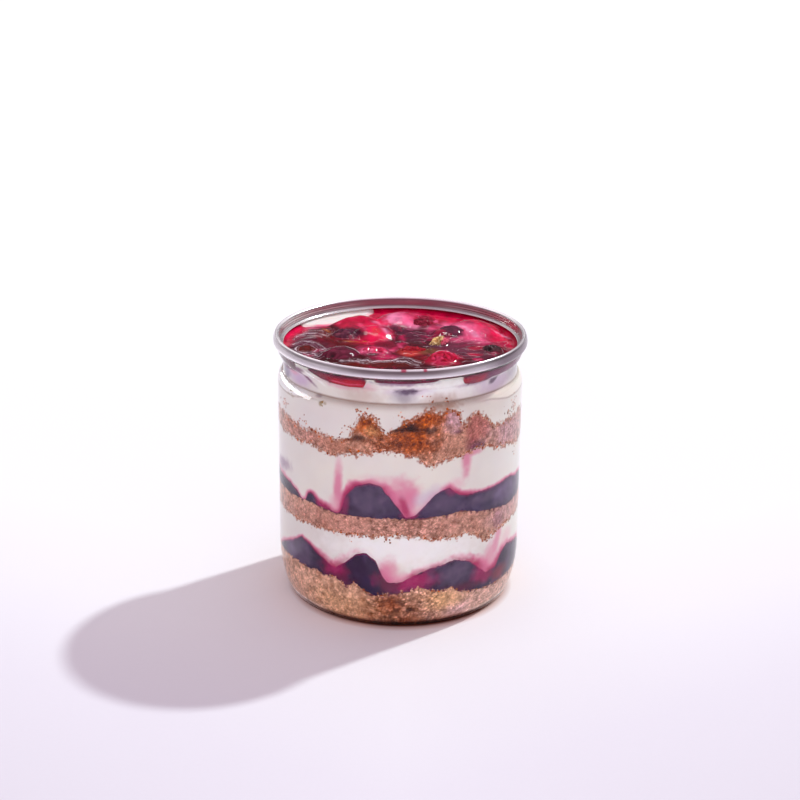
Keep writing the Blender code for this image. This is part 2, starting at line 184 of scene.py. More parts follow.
def ringSolid(name, rings, material, colours, sharp=None):
    points, skin, faces = ringParts(rings, colours)
    return meshPiece(name, points, faces, material, skin, sharp)


def dress(piece, slot, *nodes):
    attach(piece, "root")
    if nodes:
        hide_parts(*nodes)
    return piece


def newMaterial(name, presets=()):
    material = bpy.data.materials.new(name)
    material.use_nodes = True
    nodes = material.node_tree.nodes
    shader = nodes["Principled BSDF"]
    for socket, value in dict(presets).items():
        shader.inputs[socket].default_value = value
    return material, nodes, material.node_tree.links, shader


def textureNode(nodes, links, kind, scale, detail=2.0, stretch=None):
    where = nodes.new("ShaderNodeTexCoord").outputs["Object"]
    if stretch:
        mapping = nodes.new("ShaderNodeMapping")
        mapping.inputs["Scale"].default_value = stretch
        links.new(where, mapping.inputs["Vector"])
        where = mapping.outputs["Vector"]
    texture = nodes.new("ShaderNodeTex" + kind)
    texture.inputs["Scale"].default_value = scale
    if "Detail" in texture.inputs:
        texture.inputs["Detail"].default_value = detail
    links.new(where, texture.inputs["Vector"])
    return texture


def ramp(nodes, links, source, stops):
    made = nodes.new("ShaderNodeValToRGB")
    made.color_ramp.elements[0].position = stops[0][0]
    made.color_ramp.elements[0].color = (*stops[0][1], 1)
    made.color_ramp.elements[1].position = stops[-1][0]
    made.color_ramp.elements[1].color = (*stops[-1][1], 1)
    for place, colour in stops[1:-1]:
        made.color_ramp.elements.new(place).color = (*colour, 1)
    links.new(source, made.inputs["Fac"])
    return made.outputs["Color"]


def grey(value):
    return (value, value, value)


def blended(nodes, links, kind, first, second, share=None):
    made = nodes.new("ShaderNodeMix")
    made.data_type = "RGBA"
    made.blend_type = kind
    made.inputs["Factor"].default_value = 1.0
    if share:
        links.new(share, made.inputs["Factor"])
    links.new(first, made.inputs["A"])
    links.new(second, made.inputs["B"])
    return made.outputs["Result"]


def mapped(nodes, links, source, low, high, start=0.0, end=1.0):
    made = nodes.new("ShaderNodeMapRange")
    for socket, value in (("From Min", start), ("From Max", end), ("To Min", low), ("To Max", high)):
        made.inputs[socket].default_value = value
    links.new(source, made.inputs["Value"])
    return made.outputs["Result"]


def bumped(nodes, links, height, distance, strength, shader, under=None):
    made = nodes.new("ShaderNodeBump")
    made.inputs["Distance"].default_value = distance
    made.inputs["Strength"].default_value = strength
    links.new(height, made.inputs["Height"])
    if under:
        links.new(under, made.inputs["Normal"])
    links.new(made.outputs["Normal"], shader.inputs["Normal"])
    return made.outputs["Normal"]


def tintOf(nodes):
    attribute = nodes.new("ShaderNodeAttribute")
    attribute.attribute_name = "tint"
    return attribute.outputs["Color"]


# The tint, made lighter and darker by a noise that also changes how rough the surface is
def cloudedTint(nodes, links, shader, scale, detail, stops, rough):
    cloud = textureNode(nodes, links, "Noise", scale, detail).outputs["Fac"]
    clouds = ramp(nodes, links, cloud, stops)
    links.new(blended(nodes, links, "MULTIPLY", tintOf(nodes), clouds), shader.inputs["Base Color"])
    links.new(mapped(nodes, links, cloud, *rough), shader.inputs["Roughness"])
    return cloud


# Clear plastic that lets light from lamps and from diffuse bounces straight through to the food
def clearPlastic():
    material, nodes, links, shader = newMaterial("clearPlastic", {
        "Base Color": (0.985, 0.99, 0.995, 1), "Transmission Weight": 1.0, "IOR": 1.38})
    wave = textureNode(nodes, links, "Noise", 45, 2.0, (1, 1, 0.35))
    links.new(mapped(nodes, links, wave.outputs["Fac"], 0.0, 0.035), shader.inputs["Roughness"])
    bumped(nodes, links, wave.outputs["Fac"], 0.0006, 0.10, shader)
    clear = nodes.new("ShaderNodeBsdfTransparent")
    path = nodes.new("ShaderNodeLightPath")
    either = nodes.new("ShaderNodeMath")
    either.operation = "MAXIMUM"
    links.new(path.outputs["Is Shadow Ray"], either.inputs[0])
    links.new(path.outputs["Is Diffuse Ray"], either.inputs[1])
    mix = nodes.new("ShaderNodeMixShader")
    links.new(either.outputs[0], mix.inputs[0])
    links.new(shader.outputs[0], mix.inputs[1])
    links.new(clear.outputs[0], mix.inputs[2])
    links.new(mix.outputs[0], nodes["Material Output"].inputs["Surface"])
    return material


# Rolled metal: fine lines round the ring, dulled in patches, over the tint of each band of the ring
def rolledMetal():
    material, nodes, links, shader = newMaterial("rolledMetal", {"Metallic": 0.72})
    fine = textureNode(nodes, links, "Noise", 160, 3.0, (0.25, 0.25, 14))
    broad = textureNode(nodes, links, "Noise", 70, 4.0)
    lines = ramp(nodes, links, fine.outputs["Fac"], [(0.3, grey(0.84)), (0.7, grey(1.08))])
    patches = ramp(nodes, links, broad.outputs["Fac"], [(0.35, (0.86, 0.84, 0.87)), (0.65, grey(1.06))])
    metal = blended(nodes, links, "MULTIPLY", tintOf(nodes), lines)
    links.new(blended(nodes, links, "MULTIPLY", metal, patches), shader.inputs["Base Color"])
    links.new(mapped(nodes, links, broad.outputs["Fac"], 0.16, 0.30), shader.inputs["Roughness"])
    bumped(nodes, links, fine.outputs["Fac"], 0.00006, 0.35, shader)
    return material


# Packed crumb: grains of their own lightness, each with a dark edge, in looser and denser clumps
def crumbFinish(name, grain, contrast, pits):
    material, nodes, links, shader = newMaterial(name, {"Roughness": 0.9, "Specular IOR Level": 0.1})
    cells = textureNode(nodes, links, "Voronoi", 1000 / grain)
    small = textureNode(nodes, links, "Voronoi", 2300 / grain)
    clump = textureNode(nodes, links, "Noise", 420 / grain, 5.0)
    darker = (1 - contrast, 1 - 1.15 * contrast, 1 - 1.25 * contrast)
    lighter = (1 + contrast, 1 + 1.15 * contrast, 1 + 1.3 * contrast)
    pit = (1 - pits, 1 - 1.1 * pits, 1 - 1.2 * pits)
    base = tintOf(nodes)
    for source, stops in (
            (cells.outputs["Color"], [(0.20, darker), (0.5, grey(1.0)), (0.80, lighter)]),
            (small.outputs["Color"], [(0.25, (0.76, 0.70, 0.64)), (0.75, (1.26, 1.26, 1.28))]),
            (cells.outputs["Distance"], [(0.28, grey(1.10)), (0.66, pit)]),
            (clump.outputs["Fac"], [(0.34, pit), (0.47, grey(1.0)), (0.68, grey(1.16))])):
        base = blended(nodes, links, "MULTIPLY", base, ramp(nodes, links, source, stops))
    links.new(base, shader.inputs["Base Color"])
    first = bumped(nodes, links, cells.outputs["Distance"], 0.0003, 0.5, shader)
    bumped(nodes, links, clump.outputs["Fac"], 0.0005, 0.4, shader, first)
    return material


def creamFinish():
    material, nodes, links, shader = newMaterial("softCream", {
        "Specular IOR Level": 0.25, "Subsurface Weight": 0.35, "Subsurface Radius": (1.0, 0.6, 0.5),
        "Subsurface Scale": 0.0009})
    stops = [(0.3, (0.965, 0.955, 0.95)), (0.7, grey(1.0))]
    cloud = cloudedTint(nodes, links, shader, 120, 4.0, stops, (0.35, 0.6))
    bumped(nodes, links, cloud, 0.0002, 0.15, shader)
    return material


def compoteFinish():
    material, nodes, links, shader = newMaterial("compoteSide", {"Specular IOR Level": 0.15})
    cloudedTint(nodes, links, shader, 260, 4.0, [(0.3, grey(0.72)), (0.7, grey(1.25))], (0.15, 0.35))
    return material


# Wet gel and fruit: deep colour under a clear wet coat
def gelFinish(name, grain, rough, bump, coat=0.02):
    material, nodes, links, shader = newMaterial(name, {
        "Specular IOR Level": 0.0, "Coat Weight": 1.0, "Coat IOR": 1.28, "Coat Roughness": coat})
    stops = [(0.3, (0.66, 0.60, 0.64)), (0.5, grey(1.0)), (0.72, grey(1.22))]
    cloudedTint(nodes, links, shader, grain, 5.0, stops, (rough * 0.6, rough * 1.6))
    ripple = textureNode(nodes, links, "Noise", 520, 3.0)
    links.new(bumped(nodes, links, ripple.outputs["Fac"], 0.0005, bump, shader), shader.inputs["Coat Normal"])
    return material


finishes = {
    "clear": clearPlastic(),
    "metal": rolledMetal(),
    "crumbCoarse": crumbFinish("crumbCoarse", 1.05, 0.24, 0.34),
    "crumbFine": crumbFinish("crumbFine", 0.90, 0.26, 0.38),
    "cream": creamFinish(),
    "compote": compoteFinish(),
    "gel": gelFinish("topGel", 300, 0.30, 0.13),
    "berry": gelFinish("wetBerry", 640, 0.30, 0.55, 0.09),
    "fruit": gelFinish("tornFruit", 700, 0.28, 0.25),
}
wetFinishes = (finishes["gel"],)
print("materials made")

# The jar

jarShape = {
    "wall": 0.6, "bodyRadius": 37.15, "footRadius": 32.8, "heelHeight": 17.0, "heelEase": 2.6,
    "heelStart": 1.2, "footInnerRadius": 27.5, "pushUp": 1.1, "shoulderZ": 66.6, "shoulderRise": 3.81,
    "neckRadius": 35.5, "flareZ": 74.7, "flarePower": 0.5, "flangeRadius": 37.75, "flangeFootZ": 79.0,
    "flangeTop": 80.7, "flangeWall": 0.4, "around": 288, "reach": 0.15,
}


def jarOutside(shape):
    heelSpread = shape["bodyRadius"] - shape["footRadius"] - shape["heelStart"]
    heel = []
    for share in np.linspace(0.14, 1, 12) ** 2:
        swell = 1 - (1 - share) ** shape["heelEase"]
        radius = shape["footRadius"] + shape["heelStart"] + heelSpread * swell
        heel.append((radius, shape["heelHeight"] * share))
    drop = shape["bodyRadius"] - shape["neckRadius"]
    shoulder = arc((shape["neckRadius"], shape["shoulderZ"]), (drop, shape["shoulderRise"]), 0, 90, 9)
    flare = []
    for share in np.linspace(0, 1, 9)[1:] ** 1.6:
        spread = (shape["flangeRadius"] - shape["neckRadius"]) * share ** shape["flarePower"]
        flare.append((shape["neckRadius"] + spread,
                      shape["flareZ"] + (shape["flangeFootZ"] - shape["flareZ"]) * share))
    inner = shape["footInnerRadius"]
    foot = [(inner - 4, shape["pushUp"]), (inner - 1.4, shape["pushUp"]), (inner, 0.0),
            (shape["footRadius"], 0.0)]
    body = [(shape["bodyRadius"], z) for z in (30, 48, 62)]
    return foot + heel + body + shoulder + [(shape["neckRadius"], shape["flareZ"])] + flare


def movedInwards(profile, wall):
    moved = []
    for number, (radius, z) in enumerate(profile):
        before = profile[max(number - 1, 0)]
        after = profile[min(number + 1, len(profile) - 1)]
        along = Vector((after[0] - before[0], after[1] - before[1])).normalized()
        moved.append((radius - along.y * wall, z + along.x * wall))
    return moved


outsideProfile = rounded(jarOutside(jarShape), 2)
insideProfile = movedInwards(outsideProfile, jarShape["wall"])
insideWall = np.array([p for p in insideProfile if p[1] > 2.5 and p[0] > 30])
insideWall = insideWall[np.argsort(insideWall[:, 1])]


# Where the food's outside lies at a height: just inside the plastic, so that no air shows
def foodRadius(z):
    return np.interp(z, insideWall[:, 1], insideWall[:, 0]) + jarShape["reach"]


def buildJar(shape):
    outside, inside = shape["flangeRadius"], shape["flangeRadius"] - shape["flangeWall"]
    top, edge = shape["flangeTop"], 0.1
    outer = outsideProfile + [(outside, top - edge), (outside - edge, top)]
    inner = insideProfile[:-1] + [(inside, shape["flangeFootZ"] + 0.3), (inside, top - edge),
                                  (inside + edge, top)]
    turn = np.arange(shape["around"]) * 360 / shape["around"]
    rings = [onCircle(radius, turn, z) for radius, z in outer + inner[::-1]]
    plain = [np.ones_like(ring) for ring in rings]
    return ringSolid("jarWall", rings, finishes["clear"], plain, 50)


dress(buildJar(jarShape), "clear_pet", "jar")

# The seamed rim. Pairs of numbers say from where to where a band of its tint comes in.

rimShape = {
    "radius": 38.33, "top": 81.7, "skirt": 2.75, "metal": 0.35, "beadWidth": 1.7, "beadRound": 0.8,
    "sideRound": 2.2, "chuckFootRadius": 36.45, "chuckFootZ": 79.5, "lipRadius": 35.3, "lipZ": 78.7,
    "hem": 0.16, "around": 480, "uneven": 0.02,
    "folds": ((-0.10, 0.34), (-0.22, 0.10), (-0.38, 0.24), (-0.52, 0.22), (-0.62, 0.02), (-0.78, 0.14)),
    # Bare metal, then the painted reflections, highlights and shade of the ring
    "bare": tone(216, 210, 211), "dusky": tone(160, 100, 116), "line": tone(104, 80, 82),
    "dull": tone(150, 134, 140), "pale": tone(252, 246, 248), "rightEnd": tone(128, 112, 120),
    "creases": (36.50, 36.08, 35.66), "creaseWidth": 0.09, "innerLines": (80.42, 79.72), "lineWidth": 0.15,
    "smears": ((1.1, -37.6, 0.9), (7.0, -37.2, 0.8), (-4.0, 38.0, 0.9), (8.6, 37.4, 0.8)),
    "smearTone": tone(196, 44, 88),
    "insideRadius": (38.2, 37.6), "insideZ": (78.9, 79.3), "outsideRadius": (37.45, 37.6),
    "darkReflectionTop": (81.4, 81.2), "paleFoot": (79.9, 79.4), "rightEndX": (22, 31), "crestZ": (81.2, 81.45),
    "crestFadeX": (27, 36), "creaseZ": (79.7, 79.2), "besideX": (9, 20), "besideY": (-4, 10),
    "besideRadius": (37.2, 36.9), "besideZ": (79.3, 79.5), "besideTop": (80.8, 80.5), "smearZ": (80.9, 81.3),
}


# Bands of the ring's tint: bare metal outside, and painted reflections and shade: the food mirrored in the
# wall above it, a darker band and a pale foot on the outside, a painted highlight along the crest, a darker
# right end, dark lines in the creases and light and dark lines inside at the sides. The smears are compote on
# the rim.
def rimTintAndReflections(shape, radius, z, spots):
    x, y = spots[:, 0], spots[:, 1]
    colours = np.broadcast_to(shape["bare"], spots.shape).copy()
    # Painted reflection of the food in the wall above it
    inside = smoothStep(*shape["insideRadius"], radius) * smoothStep(*shape["insideZ"], z)
    colours = mixIn(colours, 0.95 * inside * smoothStep(0.35, 0.98, y / 37), shape["dusky"])
    outside = smoothStep(*shape["outsideRadius"], radius)
    # Painted reflection on the outside: a darker band, strongest in front, a pale foot and a darker right end
    front = smoothStep(0.84, 0.98, -y / 38)
    band = smoothStep(80.0 - 0.4 * front, 80.8 - 0.3 * front, z) * smoothStep(*shape["darkReflectionTop"], z)
    colours = mixIn(colours, (0.4 + 0.6 * front) * outside * band, shape["dull"])
    colours = mixIn(colours, outside * smoothStep(*shape["paleFoot"], z), shape["pale"])
    colours = mixIn(colours, 0.9 * outside * smoothStep(*shape["rightEndX"], x), shape["rightEnd"])
    # Painted highlight along the crest
    crest = smoothStep(*shape["crestZ"], z) * (1 - 0.65 * smoothStep(*shape["crestFadeX"], x))
    colours = mixIn(colours, 0.9 * crest, shape["pale"])
    # Painted shade: dark lines in the creases of the lip
    for middle in shape["creases"]:
        crease = bell(radius - middle, shape["creaseWidth"]) * smoothStep(*shape["creaseZ"], z)
        colours = mixIn(colours, np.full(len(spots), crease), shape["line"])
    # Painted light and painted dark lines inside the rim at the sides
    beside = smoothStep(*shape["besideX"], np.abs(x)) * smoothStep(*shape["besideY"], y)
    beside = beside * smoothStep(*shape["besideRadius"], radius) * smoothStep(*shape["besideZ"], z)
    colours = mixIn(colours, 0.55 * beside * smoothStep(*shape["besideTop"], z), shape["pale"])
    for level in shape["innerLines"]:
        colours = mixIn(colours, 0.9 * beside * bell(z - level, shape["lineWidth"]), shape["line"])
    for smearX, smearY, wide in shape["smears"]:
        away = np.hypot(x - smearX, y - smearY) + 0.5 * lumps(spots, 0.9, 6, 2)
        smear = smoothStep(wide, wide * 0.5, away) * smoothStep(*shape["smearZ"], z)
        colours = mixIn(colours, 0.9 * smear, shape["smearTone"])
    return colours


def buildRim(shape):
    half = shape["beadWidth"] / 2
    inner = half - shape["metal"]
    outer, crest = shape["radius"], shape["radius"] - half
    sideTop = shape["top"] - shape["sideRound"]
    innerTop = shape["top"] - shape["beadRound"]
    skirtFoot = shape["top"] - shape["skirt"]
    foot, footZ, lip, lipZ = (shape[key] for key in ("chuckFootRadius", "chuckFootZ", "lipRadius", "lipZ"))
    hem = shape["hem"]
    profile = [(outer - 0.36, skirtFoot + 0.06), (outer - 0.2, skirtFoot), (outer - 0.06, skirtFoot + 0.16),
               (outer, skirtFoot + 0.5)]
    profile += arc((crest, sideTop), (half, shape["sideRound"]), 0, 90, 13)
    profile += arc((crest, innerTop), (half, shape["beadRound"]), 100, 180, 8)
    for share in np.linspace(0.06, 1, 15):   # close enough together for the lines inside the rim
        profile.append((crest - half + (foot - crest + half) * share, innerTop + (footZ - innerTop) * share))
    profile += [(foot + across, lipZ + up) for across, up in shape["folds"]]
    profile.append((lip + 0.22, lipZ + 0.10))
    profile += arc((lip + hem, lipZ - hem * 0.6), (hem, hem), 90, 270, 7)
    profile += [(foot - 0.3, lipZ - 0.28), (foot + 0.12, lipZ + 0.1), (foot + 0.34, footZ - 0.1),
                (crest - inner, innerTop)]
    profile += arc((crest, sideTop), (inner, shape["sideRound"] - shape["metal"]), 180, 0, 9)
    around, uneven = shape["around"], shape["uneven"]
    turn = np.arange(around) * 360 / around
    rings, colours = [], []
    for radius, z in rounded(profile, 1):
        spots = onCircle(radius, turn, z)
        rings.append(onCircle(radius + uneven * lumps(spots, 9, 3) - uneven, turn,
                              z - uneven + uneven * lumps(spots, 14, 4)))
        colours.append(rimTintAndReflections(shape, radius, z, spots))
    faces = []
    for ring in range(len(rings)):
        faces += bandFaces(ring * around, (ring + 1) % len(rings) * around, around)
    return meshPiece("rimRing", np.vstack(rings), faces, finishes["metal"], np.vstack(colours), 60)


dress(buildRim(rimShape), "rim_metal", "rim_ring")
print("jar and rim made")

# The seams between the layers. "seen" holds (angle, height) along the front, and "mounds" holds (angle,
# height, half width) of the rest, as in the solids

innerRings = (14.5, 28.0)
moundRadius = 36.0
seamShapes = {
    "crumbBaseTop": {
        "level": 12.1, "tilt": -0.10, "rag": 0.55, "wave": 0.0,
        "mounds": (
            (-38, 0.9, 9), (10, 1.5, 7), (26, 1.4, 5), (-12, -1.3, 4), (120, 1.6, 10), (-150, 1.8, 12),
        ),
        "seen": (
            (-85, 15), (-62, 14.8), (-45, 14.9), (-30, 14.6), (-25, 13), (-20, 13.5), (-15, 12),
            (-11, 10.8), (-5, 11.5), (0, 12), (5, 12.5), (10, 13.5), (15, 12.7), (20, 12), (25, 12.5),
            (30, 10.5), (35, 9.5), (45, 9), (60, 9), (85, 9.5),
        ),
    },
    "compoteLowerTop": {
        "level": 15.0, "tilt": -0.055, "rag": 0.22, "wave": 0.30,
        "mounds": (
            (-52, 7.2, 13.5), (-17, 9.2, 6.8), (9, 3.2, 8), (27, 7.2, 10.5), (65, 7.2, 9.5), (101, 6.0, 12),
            (136, 8.4, 9), (171, 6.6, 12), (-153, 9.0, 10), (-112, 7.0, 13),
        ),
        "seen": (
            (-90, 15), (-80, 15), (-70, 18), (-60, 21), (-52, 24), (-45, 22.5), (-40, 20.5), (-31, 17.5),
            (-25, 20.5), (-20, 23.5), (-16, 24.5), (-10.5, 22.5), (-8, 18), (-5, 15.2), (0, 15.5), (5, 17),
            (10, 18.5), (15, 19.5), (27, 21.3), (35, 19.5), (40, 17), (45, 14), (52, 14.5), (56, 18),
            (62, 20), (70, 19), (85, 17),
        ),
    },
    "crumbMiddleBottom": {
        "level": 29.5, "tilt": 0.0, "rag": 0.5, "wave": 0.0,
        "mounds": (
            (-3, 1.4, 5), (47, -4.2, 4.5), (20, -1.0, 8), (110, 1.5, 9), (150, -1.6, 8), (-120, -1.3, 10),
        ),
        "seen": (
            (-85, 29), (-75, 29.3), (-20, 29.8), (-12, 30), (-5, 30.5), (0, 30.8), (10, 30), (15, 28.8),
            (25, 29), (35, 29), (40, 28), (43, 25), (48, 25.5), (52, 27), (60, 27.5), (85, 28),
        ),
    },
    "crumbMiddleTop": {
        "level": 35.5, "tilt": -0.035, "rag": 0.35, "wave": 0.0,
        "mounds": ((-45, 0.5, 7), (12, 0.5, 6), (32, 1.2, 8), (95, 1.0, 9), (-160, 1.2, 11)),
        "seen": (
            (-85, 36), (-60, 36), (-45, 36.5), (-30, 35.5), (-10, 35.8), (20, 36), (30, 36.5), (40, 35),
            (50, 34), (60, 33), (85, 33.5),
        ),
    },
    "compoteMiddleTop": {
        "level": 36.5, "tilt": -0.035, "rag": 0.22, "wave": 0.30,
        "mounds": (
            (-75, 3.4, 14), (-45, 3.0, 3.4), (-12, 10.4, 10.6), (22, 8.6, 9.4), (42, 6.0, 13),
            (63, 7.0, 12), (96, 4.6, 13), (127, 8.6, 10), (160, 5.6, 12), (-164, 9.6, 10.5),
            (-124, 6.4, 13),
        ),
        "seen": (
            (-85, 40.5), (-80, 40), (-60, 39), (-55, 38), (-51.5, 36.4), (-48.5, 36.5), (-47.2, 39),
            (-45, 40), (-42.8, 39), (-41, 37.6), (-33, 36), (-28.5, 35.7), (-27, 37.5), (-25, 42),
            (-20, 45.2), (-13, 46.5), (-8, 45.5), (-5, 43), (0, 39), (3, 36.1), (7, 36.6), (12, 40),
            (17, 43.2), (23, 44.5), (27, 42.5), (30, 41.5), (40, 41.3), (50, 41), (60, 41.7), (65, 41.5),
            (70, 40.5), (85, 39.5),
        ),
    },
    "crumbUpperBottom": {
        "level": 55.3, "tilt": -0.015, "rag": 0.6, "wave": 0.0,
        "mounds": (
            (-2, 1.7, 7), (14, -3.8, 5.5), (-33, -1.7, 6), (64, -2.4, 10), (118, 1.8, 9), (165, -2.6, 9),
            (-110, -1.6, 10),
        ),
        "seen": (
            (-85, 55.5), (-60, 55), (-40, 55), (-33, 53.5), (-28, 54.5), (-20, 55.5), (-10, 56.5), (-3, 57),
            (3, 56), (8, 54.5), (13, 52.5), (15, 51.5), (20, 54), (30, 54), (35, 55), (45, 55.5),
            (50, 53.5), (60, 53), (70, 51), (85, 52.5),
        ),
    },
    "crumbUpperTop": {
        "level": 58.8, "tilt": 0.01, "rag": 0.65, "wave": 0.0,
        "mounds": (
            (-15, 8.2, 4.8), (13, 8.8, 10.5), (26, 8.4, 6), (38, 7.0, 6), (65, 1.6, 11), (-60, 1.2, 9),
            (110, 5.0, 10), (152, 7.4, 7), (-150, 6.0, 11),
        ),
        "seen": (
            (-85, 61), (-70, 60), (-60, 59.5), (-50, 58.5), (-40, 59), (-30, 58), (-25, 58.5), (-22, 60),
            (-18, 66.5), (-12, 67), (-9, 64), (-7, 61.5), (-5, 62), (0, 64.5), (5, 66.5), (10, 67.5),
            (15, 68.5), (20, 67.5), (25, 68), (28, 66), (29.3, 62.5), (31, 62.5), (33, 64.5), (37, 66),
            (42, 64.5), (45, 62), (47, 60.5), (50, 60), (60, 60), (85, 60.5),
        ),
    },
    "compoteTopBottom": {
        "level": 76.0, "tilt": 0.0, "rag": 0.0, "wave": 0.12,
        "mounds": (
            (-29, -0.8, 11), (38, -0.8, 9), (-57, -0.7, 7), (80, -0.7, 12), (125, -0.5, 9),
            (-100, -0.7, 10),
        ),
        "seen": (
            (-90, 74.8), (-78, 74.5), (-70, 74.7), (-63, 75.1), (-58, 75.4), (-56.6, 75.8), (-55, 77.9),
            (-47, 77.9), (-43, 76.9), (-38, 75.9), (-33.5, 75.3), (-25, 75.1), (-16.4, 75.3), (-14.9, 77.9),
            (-12.0, 77.9), (-10.8, 77.4), (15, 77.5), (17.5, 77.9), (28.5, 77.9), (30.5, 75.7), (36, 75.2),
            (44, 75.2), (47, 75.8), (60, 75.7), (85, 75.7),
        ),
    },
}
fadeSeen = (76, 92)
basinFloor = 69.6
thinnest = 0.04
neckRadius = 36.6   # where the top of the gel meets the wall


def dome(distance):
    return np.maximum(0, 1 - distance ** 2) ** 0.7


def moundHeight(shape, x, y):
    rise, fall = 0 * x, 0 * x
    for angle, height, width in shape["mounds"]:
        centre = onCircle(moundRadius, angle, 0.0)
        lift = height * dome(np.hypot(x - centre[0], y - centre[1]) / width)
        rise, fall = np.maximum(rise, lift), np.minimum(fall, lift)
    return shape["level"] + shape["tilt"] * x + rise + fall


def softened(values, width):
    reach = int(4 * width)
    weights = np.exp(-0.5 * (np.arange(-reach, reach + 1) / width) ** 2)
    total = sum(w * np.roll(values, k) for w, k in zip(weights, range(-reach, reach + 1)))
    return total / weights.sum()


def seamLine(name, under):
    shape = seamShapes[name]
    inner = []
    for radius in innerRings:
        spots = onCircle(radius, angles, 0.0)
        inner.append(moundHeight(shape, spots[:, 0], spots[:, 1]))
    if name == "compoteTopBottom":
        inner = [np.full(columns, basinFloor) for _ in innerRings]
    spots = onCircle(moundRadius, angles, 0.0)
    wall = moundHeight(shape, spots[:, 0], spots[:, 1])
    seenAngles, seenHeights = np.array(shape["seen"]).T
    seen = np.interp(signedAngles, seenAngles, seenHeights)
    share = smoothStep(fadeSeen[1], fadeSeen[0], np.abs(signedAngles))
    wall = softened(wall + (seen - wall) * share, 1.4)
    spots[:, 2] = wall
    seed = len(name)
    wall = wall + shape["wave"] * lumps(spots, 3.0, seed, 2)
    wall = wall + shape["rag"] * (0.7 * lumps(spots, 1.7, seed, 2) + 0.9 * lumps(spots, 0.66, seed + 1))
    if under is not None:
        wall = np.maximum(wall, under["wall"] + thinnest)
        inner = [np.maximum(level, low + thinnest) for level, low in zip(inner, under["inner"])]
    return {"wall": wall, "inner": inner}


seams, below = {}, None
for seamName in seamShapes:
    below = seams[seamName] = seamLine(seamName, below)


# Distance from points on the wall, in rows over every column, to a seam
def seamDistance(z, seam, reach):
    step = moundRadius * math.radians(360 / columns)
    count = int(reach / step)
    nearest = np.full(z.shape, float(reach))
    for shift in range(-count, count + 1):
        nearest = np.minimum(nearest, np.hypot(shift * step, z - np.roll(seam, shift)))
    return nearest


# A spot of paint on the side of the food: angle and z of its middle, half its width (degrees) and height
# (mm), paint, strength, soft edge, lean (degrees a mm), and how far and in what lumps its outline bends
def spot(angle, z, wide, tall, paint, strength=1.0, soft=0.4, lean=0.0, bend=0.35, lump=2.2):
    return {"angle": angle, "z": z, "wide": wide, "tall": tall, "paint": paint, "strength": strength,
            "soft": soft, "lean": lean, "bend": bend, "lump": lump}


def spotMask(angle, z, points, mark, seed):
    bend = mark["bend"] * (lumps(points, mark["lump"], seed, 2) + 0.5 * lumps(points, 0.8, seed + 1, 2))
    across = (angleBetween(angle, mark["angle"]) - mark["lean"] * (z - mark["z"])) / mark["wide"]
    distance = np.hypot(across, (z - mark["z"]) / mark["tall"]) + bend
    return mark["strength"] * smoothStep(1 + mark["soft"], 1 - mark["soft"], distance)


def paintSpots(colours, angle, z, points, spots, palette, seed):
    for number, mark in enumerate(spots):
        colours = mixIn(colours, spotMask(angle, z, points, mark, seed + number), palette[mark["paint"]])
    return colours


def haloMask(angle, z, points, seam, halo, seed):
    where, strength, reach = np.array(halo).T
    reachHere = 1.4 * np.interp(angle, where, reach, period=360) * (1 + 0.5 * lumps(points, 2.4, seed, 3))
    distance = seamDistance(z, seam, 2.0 * reach.max())
    fade = np.clip(1 - distance / np.maximum(reachHere, 0.05), 0, 1)
    return np.interp(angle, where, strength, period=360) * fade


# The groove colour is painted shade; the white and warm colours are painted light
creamPaint = {
    "base": tone(241, 238, 224), "cool": tone(230, 224, 220), "pink": tone(224, 126, 160),
    "magenta": tone(180, 30, 92), "rose": tone(234, 176, 190), "lilac": tone(204, 172, 208),
    "purple": tone(140, 82, 134), "brown": tone(168, 112, 78), "sidePurple": tone(112, 44, 92),
    "smudge": tone(100, 72, 98), "groove": tone(166, 140, 126), "white": tone(253, 252, 248),
    "slate": tone(126, 110, 134), "beige": tone(222, 206, 188), "warm": tone(246, 238, 224),
    "olive": tone(150, 126, 66), "wine": tone(120, 40, 92),
}
compotePaint = {
    "core": tone(44, 14, 56), "wine": tone(92, 8, 54), "magenta": tone(154, 12, 84), "blue": tone(38, 20, 68),
    "lilac": tone(130, 96, 148), "brick": tone(150, 34, 60), "veil": tone(84, 56, 98),
    "mist": tone(98, 80, 108),
}
crumbPaint = {
    "base": tone(216, 158, 134), "pinkish": tone(216, 156, 146), "orange": tone(206, 98, 6),
    "burnt": tone(150, 60, 4), "dark": tone(58, 20, 10), "tan": tone(234, 186, 158),
    "lavender": tone(214, 174, 186), "brick": tone(198, 104, 102), "purple": tone(112, 56, 92),
    "wine": tone(130, 34, 58), "brown": tone(172, 98, 58), "gold": tone(236, 186, 120),
    "rosyTan": tone(230, 188, 174), "glint": tone(253, 250, 246),
}


# Grains strewn over a seam: close together beside it, few further away
def strewn(points, distance, reach, grain, seed):
    noise = 0.5 + 0.5 * lumps(points, grain, seed)
    return smoothStep(0.0, 0.20, noise - 0.33 - 0.60 * np.clip(distance / reach, 0, 1))


def fineSide(low, high, rowHeight=0.34):
    rows = max(4, int((high - low).max() / rowHeight))
    share = np.linspace(0, 1, rows)[:, None]
    z = low + (high - low) * share
    return z, onCircle(foodRadius(z), angles[None, :], z)


def innerCircles(seam):
    return [onCircle(radius, angles, level) for radius, level in zip(innerRings, seam["inner"])]


# A whole layer: its lower seam from the middle outwards, its side, and its upper seam back to the middle
def layerRings(low, high, paint):
    z, side = fineSide(low["wall"], high["wall"])
    skin = paint(np.broadcast_to(signedAngles, z.shape), z, side)
    lowRings, highRings = innerCircles(low), innerCircles(high)
    colours = [skin[0]] * len(lowRings) + list(skin) + [skin[-1]] * len(highRings)
    return lowRings + list(side) + highRings[::-1], colours


